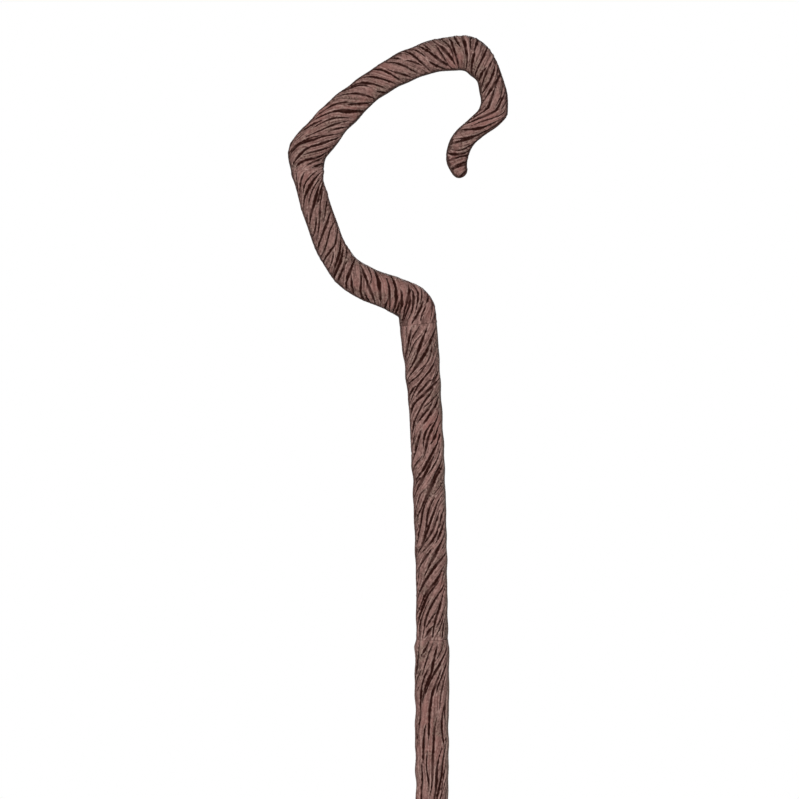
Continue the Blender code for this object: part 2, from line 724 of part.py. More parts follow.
def main():
    for obj in list(bpy.data.objects):
        bpy.data.objects.remove(obj, do_unlink=True)

    foot_top = Vector((0, 0, FOOT_THICKNESS + RIM_GAP))
    lower = Section(foot_top, 90, FOOT_DIAMETER, LOWER_SHAFT_RUNS)
    upper = Section(next_start(lower), lower.end_heading, UPPER_SHAFT_RIM_DIAMETER, UPPER_SHAFT_RUNS)
    bow = Section(next_start(upper), upper.end_heading, BOW_RIM_DIAMETER, BOW_RUNS)
    hook = Section(next_start(bow), bow.end_heading, ELBOW_RIM_DIAMETER, HOOK_RUNS, domed=True)

    shaft_joint = make_joint(lower, upper, SHAFT_SOCKET_WALL, SHAFT_DEPTH_BELOW, SHAFT_DEPTH_ABOVE)
    neck_joint = make_joint(upper, bow, NECK_SOCKET_WALL, NECK_DEPTH_BELOW, NECK_DEPTH_ABOVE)
    elbow_joint = make_joint(bow, hook, ELBOW_SOCKET_WALL, ELBOW_DEPTH_BELOW, ELBOW_DEPTH_ABOVE)
    foot_bore = lower.start_radius - FOOT_SOCKET_WALL
    foot_joint = Joint(foot_top, 90, foot_bore, RIM_GAP, FOOT_SOCKET_DEPTH)

    foot_cut = bore_cutter("foot_bore", foot_joint)
    shaft_cut = bore_cutter("shaft_bore", shaft_joint)
    neck_cut = bore_cutter("neck_bore", neck_joint)
    elbow_cut = bore_cutter("elbow_bore", elbow_joint)

    lower_frame = empty_at("lower_shaft_axis", Matrix())
    upper_frame = empty_at("shaft_joint_axis", joint_frame(shaft_joint), lower_frame)
    bow_frame = empty_at("neck_joint_axis", joint_frame(neck_joint), upper_frame)
    hook_frame = empty_at("elbow_joint_axis", joint_frame(elbow_joint), bow_frame)

    lower_hollow = hollow_cutter(
        "lower_shaft_hollow", lower, FOOT_SOCKET_DEPTH, foot_bore, SHAFT_DEPTH_BELOW, shaft_joint.bore
    )
    upper_hollow = hollow_cutter(
        "upper_shaft_hollow", upper, SHAFT_DEPTH_ABOVE, shaft_joint.bore, NECK_DEPTH_BELOW, neck_joint.bore
    )
    bow_hollow = hollow_cutter(
        "bow_hollow", bow, NECK_DEPTH_ABOVE, neck_joint.bore, ELBOW_DEPTH_BELOW, elbow_joint.bore
    )
    hook_hollow = hollow_cutter(
        "hook_hollow", hook, ELBOW_DEPTH_ABOVE, elbow_joint.bore, TIP_SOLID_LENGTH, None
    )

    cuts = foot_cut, shaft_cut
    make_section("lower_shaft", lower, lower_frame, cuts, lower_hollow, LOWER_SHAFT_GRAIN, LOWER_SHAFT_SEED)
    cuts = shaft_cut, neck_cut
    make_section("upper_shaft", upper, upper_frame, cuts, upper_hollow, UPPER_SHAFT_GRAIN, UPPER_SHAFT_SEED)
    cuts = neck_cut, elbow_cut
    make_section("bow", bow, bow_frame, cuts, bow_hollow, BOW_GRAIN, BOW_SEED)
    cuts = (elbow_cut,)
    make_section("hook", hook, hook_frame, cuts, hook_hollow, HOOK_GRAIN, HOOK_SEED)
    make_coupler("shaft_coupler", shaft_joint, upper_frame)
    make_coupler("neck_coupler", neck_joint, bow_frame)
    make_coupler("elbow_coupler", elbow_joint, hook_frame)
    make_foot_plug(foot_bore, lower_frame)


main()
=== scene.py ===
"""Looks of a crook-headed walking staff: bark-grained half shells, couplers, foot plug and studio.

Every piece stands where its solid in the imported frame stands. Metres and degrees, +Z up, the crook in
the XZ plane. A section is a round tube on a path of stretches, and its two shells meet at a seam in that
plane.
"""

import math
from collections import namedtuple

import bpy
import numpy as np
from bpy.props import FloatProperty, FloatVectorProperty, IntProperty, PointerProperty
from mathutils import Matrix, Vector


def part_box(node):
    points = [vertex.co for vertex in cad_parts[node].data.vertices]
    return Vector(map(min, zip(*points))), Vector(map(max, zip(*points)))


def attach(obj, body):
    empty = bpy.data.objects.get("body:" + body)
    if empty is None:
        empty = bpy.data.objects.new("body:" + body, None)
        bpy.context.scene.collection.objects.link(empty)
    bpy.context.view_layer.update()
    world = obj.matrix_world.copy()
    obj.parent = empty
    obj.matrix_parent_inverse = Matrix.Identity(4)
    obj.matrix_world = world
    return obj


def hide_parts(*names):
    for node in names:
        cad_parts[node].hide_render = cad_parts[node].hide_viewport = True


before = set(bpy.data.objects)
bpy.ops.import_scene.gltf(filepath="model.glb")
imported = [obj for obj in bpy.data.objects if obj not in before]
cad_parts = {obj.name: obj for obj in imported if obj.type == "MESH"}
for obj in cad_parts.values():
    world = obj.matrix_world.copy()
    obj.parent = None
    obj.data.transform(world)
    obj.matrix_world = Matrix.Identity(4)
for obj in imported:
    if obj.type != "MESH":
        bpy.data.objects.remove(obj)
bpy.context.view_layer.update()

bl_info = {
    "name": "Crook-headed staff",
    "version": (1, 0, 0),
    "blender": (4, 5, 0),
    "location": "View3D > Sidebar > Staff",
    "description": "Dresses a take-apart crook-headed staff in carved bark grain",
    "category": "Add Mesh",
}

# One stretch of a section: its length, its turn to the left and its diameter at the far end
Run = namedtuple("Run", "length turn diameter")

LOWER_SHAFT_RUNS = (
    Run(0.198, 0, 0.0355),
    Run(0.145, 0, 0.0375),
)
UPPER_SHAFT_RUNS = (
    Run(0.227, 3, 0.0355),
    Run(0.113, 3, 0.0400),
)
BOW_RUNS = (
    Run(0.011, 0, 0.0405),
    Run(0.020, 59, 0.0400),
    Run(0.038, 6, 0.0360),
    Run(0.067, -48, 0.0320),
    Run(0.071, -9, 0.0320),
    Run(0.013, -10, 0.0355),
)
HOOK_RUNS = (
    Run(0.016, 0, 0.0395),
    Run(0.007, -42, 0.0410),
    Run(0.046, -5, 0.0370),
    Run(0.055, -12, 0.0305),
    Run(0.045, -11, 0.0335),
    Run(0.057, -23, 0.0375),
    Run(0.016, -43, 0.0360),
    Run(0.026, -26, 0.0280),
    Run(0.036, -25, 0.0295),
    Run(0.002, -40, 0.0285),
    Run(0.033, -11, 0.0240),
    Run(0.025, 39, 0.0250),
    Run(0.022, 38, 0.0160),
)

# Diameter of each section's lower rim
FOOT_DIAMETER = 0.0340
UPPER_SHAFT_DIAMETER = 0.0340
BOW_DIAMETER = 0.0405
HOOK_DIAMETER = 0.0355

# A socket: its bore radius and its depth in the section
Socket = namedtuple("Socket", "bore depth")
FOOT_SOCKET = Socket(0.0130, 0.018)
SHAFT_SOCKET_BELOW = Socket(0.0142, 0.030)
SHAFT_SOCKET_ABOVE = Socket(0.0142, 0.026)
NECK_SOCKET_BELOW = Socket(0.0148, 0.030)
NECK_SOCKET_ABOVE = Socket(0.0148, 0.020)
ELBOW_SOCKET_BELOW = Socket(0.01235, 0.018)
ELBOW_SOCKET_ABOVE = Socket(0.01235, 0.0165)

# The ledge past a socket and its taper into the hollow, and how much of the hook's tip is solid
LEDGE_WIDTH = 0.0025
LEDGE_LENGTH = 0.003
LEDGE_TAPER = 0.004
TIP_SOLID_LENGTH = 0.026

# The foot's plate, gaps at rims and round plugs, flats of a bore, and the corner rule that the solids
# follow: the blend of the ribs, and how far a ring is widened to fill a corner
FOOT_THICKNESS = 0.005
RIM_GAP = 0.0003
FIT_GAP = 0.00015
BORE_SIDES = 28
CORNER_BLEND = 0.013
CORNER_FILL = 0.8

# The shells' own rings: a further blend of the ribs, and a blend of the inside of a corner with the least
# reach that counts, where the rings close up to less than these shares of their spacing
SHELL_BLEND = 0.006
INSIDE_BLEND = 0.010
INSIDE_REACH = 0.0001
INSIDE_SPACING = (0.85, 0.5)

# How much fuller the tip is, and where that starts, is most and is down to a half, from the end of the
# last stretch
TIP_FULLNESS = 0.17
TIP_FULL = (-0.020, -0.0045, 0.005)

# Couplers and foot plug: walls, soft edges, lead-ins, a grip groove's profile and its places as shares of
# the depth in a section, and the tread's rings
COUPLER_WALL = 0.0028
FOOT_WALL = 0.0026
FOOT_CHAMFER = 0.0015
SOFT_EDGE = 0.0005
LEAD_IN = 0.001
COUPLER_GROOVE = ((-0.0011, 0), (-0.0007, 0.0005), (0.0007, 0.0005), (0.0011, 0))
COUPLER_GROOVE_PLACES = (0.62, 0.42)
TREAD_RINGS = (0.0022, 0.0052, 0.0082, 0.0112)
TREAD_RING = ((0, 1), (0.0003, 0), (0.0019, 0), (0.0022, 1))
TREAD_DEPTH = 0.0008
PIN_HOLE = 0.00005

# Turned pieces: sides, the angle in degrees from which an edge is sharp, points on a rounded corner, and
# the share of a corner's shorter side that the rounding may take
TURNED_SIDES = 120
SHARP_ANGLE = 40
ARC_POINTS = 5
ARC_SHARE = 0.45

# How far a piece's box may be from its solid's: a solid shell has pegs that stand proud of its seam
SHELL_SLACK = 0.004
TURNED_SLACK = 0.001

# Shells: points on the inner arc, shares of the wall where tongue and rebate start and end, and the
# distance from a rim over which they rise
INNER_POINTS = 21
TONGUE_WALL = (0.50, 0.40)
REBATE_WALL = (0.65, 0.55)
TONGUE_RIM = 0.002

# Rows and columns: the fewest steps, the closer ones at both ends in edge roundings, and how far the even
# ones stay clear of the ends
FEWEST_STEPS = 4
EDGE_POINTS = (0, 0.08, 0.25, 0.55, 1.0)
EDGE_CLEAR = 1.4

# The hook's tip: the half width below which it calms down, and where its solid part's seam face ends
TIP_WIDTH = 0.008
TIP_SEAM = 0.8

# Relief: length of the drawn-in shoulder, distance from a rim over which the swell rises, the swell's
# longest and shortest wave and their number, the share of fibre that the land keeps, the ply that lies
# level, the share of the depth from which it is held back, and the least depth
SHOULDER_LENGTH = 0.010
SWELL_RIM = 0.006
SWELL_WAVES = (0.05, 0.018, 14)
LAND_SHARE = 0.5
PLY_LEVEL = 0.5
HELD_SHARE = 0.75
LEAST_DEPTH = 0.00005

# Floor: sides, rings, radius of the closed middle, level, and the shares of its radius between which it
# fades to white
FLOOR_SIDES = 96
FLOOR_RINGS = 12
FLOOR_MIDDLE = 0.02
FLOOR_LEVEL = -0.0005
FLOOR_FADE = (0.35, 0.95)

# A lamp: its name, its size and its place
Lamp = namedtuple("Lamp", "name size place")
LAMPS = (
    Lamp("key", 0.9, (-0.6, -3.3, 1.8)),
    Lamp("front", 1.6, (0.0, -3.6, 0.7)),
    Lamp("rear", 1.6, (0.3, 2.8, 1.8)),
)

# Main grooves, where the solids have theirs: reach each way, least length, room that a start and an end
# need, margins at rims and at the outer seam, the bare strip at the inner seam, swing and curl in
# degrees, starts that are tried, a step's length, and the least that rings count as spread
GROOVE_REACH = 0.024
GROOVE_LEAST_LENGTH = 0.018
GROOVE_SPACING = 0.0125
GROOVE_END_GAP = 0.0062
GROOVE_RIM_MARGIN = 0.004
GROOVE_SEAM_MARGIN = 0.002
LAND_WIDTH = 0.0085
GROOVE_SWING = 5
GROOVE_CURL = 0.5
GROOVE_TRIES = 1500
GROOVE_STEP = 0.002
LEAST_STRETCH = 0.3

# A kind of stroke: how many starts are tried, its farthest reach each way, in how many steps, its least
# length as a share of that reach, and how much it swings and curls in degrees
Stroke = namedtuple("Stroke", "tries reach steps least swing curl")
LESSER_GROOVES = Stroke(2600, 0.046, 64, 0.35, 6, 0.4)
THIN_LINES = Stroke(300, 0.022, 30, 0.35, 6, 0.4)

# Width of lesser grooves and spacing of thin lines against those of bold grooves, and the steps by which
# main grooves are drawn on
LESSER_WIDTH = 0.85
THIN_SPACING = 0.55
DRAW_ON_STEPS = 56
DRAW_ON_STEP = 0.0009

# Noise in the finishes: features a metre, detail, roughness and, for rub marks, the stretch along the
# axes. Then its middle value
STIPPLE = (430, 3.0, 0.65)
MOTTLE = (300, 3.0, 0.6)
PATCHES = (48, 3.0, 0.6)
DRIFTS = (21, 2.0, 0.5)
SPARK = (2600, 2.0, 0.6)
RUB_MARKS = (700, 2.0, 0.6, (1, 1, 0.06))
PLASTIC_CLOUDS = (60, 3.0, 0.5)
GRIT = (1500, 3.0, 0.65)
RUBBER_CLOUDS = (120, 3.0, 0.6)
NOISE_MIDDLE = 0.5

# Grain direction against the section's heading: distance from the lower rim, degrees to the left, and how
# many more degrees to the left the outer edge has than the inner edge
LOWER_SHAFT_GRAIN = (
    (0.0, -4, 10),
    (0.200, -8, 16),
    (0.245, -1, 4),
    (0.280, -9, 6),
    (0.305, -27, 8),
    (0.343, -17, 16),
)
UPPER_SHAFT_GRAIN = (
    (0.0, -12, 4),
    (0.040, -33, 4),
    (0.090, -34, -4),
    (0.125, -28, 0),
    (0.165, -37, 0),
    (0.205, -30, 0),
    (0.245, -34, 0),
    (0.285, -54, 8),
    (0.315, -30, 6),
    (0.340, -22, 6),
)
BOW_GRAIN = (
    (0.0, -24, -20),
    (0.025, -60, -18),
    (0.045, -69, -20),
    (0.070, -55, 0),
    (0.088, -54, 0),
    (0.108, -65, 0),
    (0.130, -50, -20),
    (0.150, -46, -4),
    (0.170, -41, 18),
    (0.190, -36, 10),
    (0.220, -41, 22),
)
HOOK_GRAIN = (
    (0.0, -75, 34),
    (0.012, -65, 34),
    (0.025, -29, 30),
    (0.050, -39, 24),
    (0.085, -41, 24),
    (0.110, -51, 30),
    (0.150, -55, 20),
    (0.180, -54, -16),
    (0.205, -58, -14),
    (0.228, -82, 0),
    (0.245, -68, -12),
    (0.270, -56, -12),
    (0.290, -39, 0),
    (0.308, -14, 4),
    (0.328, -20, 8),
    (0.350, -49, 0),
    (0.370, -72, -4),
    (0.410, -84, 0),
)


def length(name, description, default, least=0.0):
    """A size setting, in metres."""
    return FloatProperty(
        name=name, description=description, default=default, min=least, precision=5, unit="LENGTH"
    )


def tone(name, description, colour):
    """A colour setting, in linear light."""
    return FloatVectorProperty(
        name=name, description=description, default=colour, size=3, min=0, max=1, subtype="COLOR"
    )


def power(name, description, watts):
    """A lamp's power setting."""
    return FloatProperty(name=name, description=description, default=watts, min=0, unit="POWER")


class StaffSizes(bpy.types.PropertyGroup):
    """Sizes of the carved surface."""

    grid: length("Grid", "Distance between the points of a shell's surface", 0.00053, 0.0003)
    wall: length("Wall", "Thickness of a shell's wall", 0.0036, 0.001)
    floor: length("Groove floor", "Least thickness under a groove", 0.0008, 0.0002)
    seam: length("Seam", "Gap between the two shells", 0.0003, 0.0001)
    tongue: length("Tongue", "Height of the tongue that closes the seam", 0.0008)
    rim: length("Rim", "How far a rim reaches into the gap between two sections", 0.00012)
    edge: length("Edge", "Rounding of rims and seams", 0.0004, 0.0001)
    shoulder: length("Shoulder", "How far the lower shaft draws in at its upper rim", 0.0013)
    groove_depth: length("Groove depth", "Depth of a bold groove", 0.0019)
    groove_width: length("Groove width", "Width of a bold groove", 0.0030, 0.0005)
    groove_gap: length("Groove spacing", "Spacing of bold grooves", 0.0062, 0.002)
    line_depth: length("Line depth", "Depth of a thin line", 0.0005)
    line_width: length("Line width", "Width of a thin line", 0.0011, 0.0003)
    fibre: length("Fibre", "Height of the fine fibre", 0.00014)
    strand: length("Strand", "Height of the strands", 0.00020)
    ply: length("Ply", "Height of the plies between the grooves", 0.0006)
    swell: length("Swell", "Height of the slow, hand-made unevenness", 0.00034)
    land: length("Land", "Width of the calmer strip beside the inner seam", 0.0085)
    seed: IntProperty(name="Seed", description="Seed of the grain", default=7, min=0)


class StaffColours(bpy.types.PropertyGroup):
    """Colours of the finishes."""

    ridge: tone("Ridge", "Flat tops between the grooves", (0.295, 0.166, 0.145))
    shade: tone("Shade", "Darker fibres on the tops", (0.120, 0.063, 0.054))
    # Edge: the pale tint of the light streaks along the grain, and a painted highlight along the rims of
    # the grooves
    edge: tone("Edge", "Worn edges of the grooves", (0.430, 0.303, 0.266))
    warm: tone("Warm", "Reddish patches", (0.262, 0.120, 0.104))
    olive: tone("Olive", "Grey-olive patches", (0.225, 0.163, 0.128))
    flank: tone("Flank", "Sides of the grooves", (0.078, 0.036, 0.029))
    groove: tone("Groove", "Wash in the grooves", (0.020, 0.0052, 0.0036))
    # Land: the uncarved strip's pale grey tint is a painted sheen along the tube's inner edge
    land: tone("Land", "Calmer strip beside the inner seam", (0.262, 0.208, 0.172))
    # Seam: painted shade, a dark band along both seams that darkens the crook's outline as seen from the
    # front
    seam: tone("Seam", "Stain along the seams", (0.036, 0.015, 0.012))
    coupler: tone("Coupler", "Plastic of the couplers", (0.060, 0.033, 0.027))
    foot: tone("Foot", "Rubber of the foot plug", (0.035, 0.022, 0.019))
    dust: tone("Dust", "Dust on the foot plug", (0.130, 0.105, 0.090))


class StaffStudio(bpy.types.PropertyGroup):
    """Camera, lamps and floor."""

    camera_distance: length("Camera distance", "From the camera to the plane of the crook", 4.0)
    frame_width: length("Frame width", "Width of the picture at the plane of the crook", 0.8629)
    aim_across: length("Aim across", "Middle of the picture along X", -0.0351, -10.0)
    aim_height: length("Aim height", "Middle of the picture along Z", 0.6075)
    key_power: power("Key", "Power of the upper left lamp", 89.0)
    front_power: power("Front", "Power of the front lamp", 38.0)
    rear_power: power("Rear", "Power of the rear lamp", 90.0)
    sky: FloatProperty(
        name="Sky", description="Strength of the light from all round", default=0.08, min=0
    )
    floor_radius: length("Floor radius", "Radius of the floor", 1.5)
    floor: tone("Floor", "Floor", (0.80, 0.80, 0.80))


def smooth_step(low, high, value):
    """0 below low, 1 above high, and 3t^2 - 2t^3 between."""
    share = np.clip((value - low) / (high - low), 0, 1)
    return share * share * (3 - 2 * share)


def running_mean(distance, values, blend, least):
    """The mean over a blend on both sides, from the running integral.

    The blend shrinks to nothing at the two ends, where the mean is the value itself.
    """
    column = (-1, *(1,) * (values.ndim - 1))
    areas = np.diff(distance).reshape(column) * (values[1:] + values[:-1]) / 2
    total = np.concatenate((np.zeros_like(values[:1]), np.cumsum(areas, 0)))
    reach = np.minimum(blend, np.minimum(distance - distance[0], distance[-1] - distance))
    inner = reach > least
    ends = []
    for places in (distance + reach, distance - reach):
        k = np.clip(np.searchsorted(distance, places) - 1, 0, len(distance) - 2)
        share = (places - distance[k]) / (distance[k + 1] - distance[k])
        ends.append(total[k] + share.reshape(column) * (total[k + 1] - total[k]))
    means = values.copy()
    means[inner] = (ends[0] - ends[1])[inner] / (2 * reach[inner].reshape(column))
    return means


class Path:
    """A section's centreline: for every station its distance, place in XZ, heading and diameter.

    The heading turns evenly within a stretch and the diameter eases with 3t^2 - 2t^3. A rib is a ring's
    own heading: the heading averaged over the corner blend on both sides, which shrinks to nothing at the
    rims.
    """

    # Distance and least number of the stations on a stretch, and the rows and the rise of a domed end
    step = 0.001
    least_count = 8
    dome_rows = 16
    dome_angle = math.radians(86)

    def __init__(self, start, heading, diameter, runs, domed=False):
        place = np.array(start, float)
        columns = []
        along = 0.0
        self.start = place
        self.start_heading = heading
        for run in runs:
            count = max(self.least_count, math.ceil(run.length / self.step))
            share = np.arange(count) / count
            middle = np.radians(heading + run.turn * (share + 0.5 / count))
            moves = np.stack((np.cos(middle), np.sin(middle)), 1) * run.length / count
            corners = place + np.concatenate((np.zeros((1, 2)), np.cumsum(moves, 0)))
            eased = diameter + (run.diameter - diameter) * share * share * (3 - 2 * share)
            turning = heading + run.turn * share
            distance = along + run.length * share
            columns.append(np.column_stack((distance, corners[:-1], turning, eased)))
            place = corners[-1]
            along += run.length
            heading += run.turn
            diameter = run.diameter
        if domed:
            rise = np.linspace(0, self.dome_angle, self.dome_rows)
            ahead = diameter / 2 * np.sin(rise)
            places = place + ahead[:, None] * self.forward(heading)
            headings = np.full_like(rise, heading)
            rounding = diameter * np.cos(rise)
            columns.append(np.column_stack((along + ahead, places, headings, rounding)))
        else:
            columns.append(np.array([[along, *place, heading, diameter]]))
        self.stations = np.concatenate(columns)
        self.length = along
        self.reach = self.stations[-1, 0]
        self.end = place
        self.end_heading = heading
        self.domed = domed
        distance, _, _, headings, _ = self.stations.T
        self.ribs = running_mean(distance, headings, CORNER_BLEND, self.step)
        self.shell_ribs = running_mean(distance, self.ribs, SHELL_BLEND, self.step)

    @staticmethod
    def forward(heading):
        """The unit step in XZ on a heading."""
        turn = math.radians(heading)
        return np.array((math.cos(turn), math.sin(turn)))

    def rings(self, rows, shell=False):
        """Centres, rib directions, half widths, half depths and bend per metre at these distances.

        A ring is widened along its rib where that isn't square to the heading. The shells' own rings have
        a further blend of the ribs and a fuller tip.
        """
        distance, *others = self.stations.T
        x, z, heading, diameter = (np.interp(rows, distance, values) for values in others)
        headings = self.shell_ribs if shell else self.ribs
        if shell and self.domed:
            start, most, half = TIP_FULL
            beyond = rows - self.length
            fuller = smooth_step(start, most, beyond) * (1 - smooth_step(most, half, beyond) / 2)
            diameter = diameter * (1 + TIP_FULLNESS * fuller)
        past = rows - np.clip(rows, 0, self.reach)
        x = x + past * np.cos(np.radians(heading))
        z = z + past * np.sin(np.radians(heading))
        rib = np.radians(np.interp(rows, distance, headings))
        depth = diameter / 2
        width = depth * (1 + CORNER_FILL * (1 / np.cos(np.radians(heading) - rib) - 1))
        bend = np.interp(rows, distance, np.gradient(np.radians(headings), distance))
        centres, ribs = np.stack((x, z), 1), np.stack((-np.sin(rib), np.cos(rib)), 1)
        return centres, ribs, width, depth, bend

    def surface(self, rows, angle, side):
        """Points on the outside: the angle runs from the outer to the inner seam."""
        centres, ribs, width, depth, _ = self.rings(rows)
        flat = centres + ribs * (width * np.cos(angle))[:, None]
        return np.stack((flat[:, 0], side * depth * np.sin(angle), flat[:, 1]), 1)

    def grain_steps(self, rows, angle, grain, side, turn):
        """Changes of distance and angle for a metre along the grain, turned by degrees to the left."""
        distance, *others = np.array(grain).T
        lean, spread = (np.interp(rows, distance, values) for values in others)
        heading = np.radians(lean + spread * np.cos(angle) / 2 + turn)
        _, _, width, depth, bend = self.rings(rows)
        stretch = np.maximum(1 - bend * width * np.cos(angle), LEAST_STRETCH)
        return np.cos(heading) / stretch, side * np.sin(heading) * 2 / (width + depth)

    def above(self, diameter, runs, domed=False):
        """The path of the section above, which starts a rim's gap further on."""
        start = self.end + RIM_GAP * self.forward(self.end_heading)
        return Path(start, self.end_heading, diameter, runs, domed)


LOWER_PATH = Path((0, FOOT_THICKNESS + RIM_GAP), 90, FOOT_DIAMETER, LOWER_SHAFT_RUNS)
UPPER_PATH = LOWER_PATH.above(UPPER_SHAFT_DIAMETER, UPPER_SHAFT_RUNS)
BOW_PATH = UPPER_PATH.above(BOW_DIAMETER, BOW_RUNS)
HOOK_PATH = BOW_PATH.above(HOOK_DIAMETER, HOOK_RUNS, domed=True)

# A section: its name, path, grain, the sockets at its two ends, its shares of the full land, of the full
# shoulder and of the full painted shade along the seams, and its seed
Section = namedtuple("Section", "name path grain lower upper land shoulder stain seed")
LOWER_SHAFT = Section(
    "lower_shaft", LOWER_PATH, LOWER_SHAFT_GRAIN, FOOT_SOCKET, SHAFT_SOCKET_BELOW, 1, 1, 0.4, 7
)
UPPER_SHAFT = Section(
    "upper_shaft", UPPER_PATH, UPPER_SHAFT_GRAIN, SHAFT_SOCKET_ABOVE, NECK_SOCKET_BELOW, 1, 0, 0.6, 8
)
BOW = Section("bow", BOW_PATH, BOW_GRAIN, NECK_SOCKET_ABOVE, ELBOW_SOCKET_BELOW, 0, 0, 0.85, 9)
HOOK = Section("hook", HOOK_PATH, HOOK_GRAIN, ELBOW_SOCKET_ABOVE, None, 0.6, 0, 1, 10)


def main_lines(section, side):
    """The solids' groove lines along the grain, as arrays of distance and angle.

    Starts are tried in turn. One that lies close to an older line is passed over, and a line ends where
    it comes near an older one, a rim, the outer seam or the bare strip.
    """
    path = section.path
    rng = np.random.default_rng((section.seed, side + 1))
    starts = rng.uniform((0, 0), (path.length, math.pi), (GROOVE_TRIES, 2)).T
    swing = rng.normal(0, GROOVE_SWING, GROOVE_TRIES)
    curl = rng.normal(0, GROOVE_CURL, GROOVE_TRIES)
    steps = round(GROOVE_REACH / GROOVE_STEP)
    halves = []
    for sense in (-1, 1):
        place = starts
        half = []
        for k in range(steps):
            moves = path.grain_steps(*place, section.grain, side, swing + sense * curl * k)
            place = place + sense * GROOVE_STEP * np.array(moves)
            half.append(place)
        halves.append(half)
    traced = np.array(halves[0][::-1] + [starts] + halves[1])
    lines = []
    taken = np.full((1, 3), np.inf)
    for rows, angle in zip(traced[:, 0].T, traced[:, 1].T):
        radius = np.interp(rows, path.stations[:, 0], path.stations[:, 4]) / 2
        rim = np.minimum(rows, path.length - rows)
        outer = angle * radius - GROOVE_SEAM_MARGIN
        inner = (math.pi - angle) * radius - LAND_WIDTH
        points = path.surface(rows, angle, side)
        room = np.linalg.norm(points[:, None] - taken, axis=2).min(1)
        free = (rim > GROOVE_RIM_MARGIN) & (np.minimum(outer, inner) > 0) & (room > GROOVE_END_GAP)
        if not free[steps] or room[steps] < GROOVE_SPACING:
            continue
        first, last = free_run(free, steps)
        if (last - first) * GROOVE_STEP < GROOVE_LEAST_LENGTH:
            continue
        lines.append((rows[first:last], angle[first:last]))
        taken = np.concatenate((taken, points[first:last]))
    return lines


def free_run(free, middle):
    """The first and the end of the unbroken free run round a middle that is free."""
    first = middle - np.argmin(np.append(free[middle::-1], False)) + 1
    return first, middle + np.argmin(np.append(free[middle:], False))


def waves(rng, along, across, longest, shortest, count):
    """Unevenness of about -1 to 1: a sum of sine waves of random direction, length and start."""
    total = 0
    for _ in range(count):
        turn = rng.uniform(0, 2 * math.pi)
        wavelength = rng.uniform(shortest, longest)
        start = rng.uniform(0, 2 * math.pi)
        level = along * math.cos(turn) + across * math.sin(turn)
        total = total + np.sin(2 * math.pi * level / wavelength + start)
    return total / math.sqrt(count / 2)


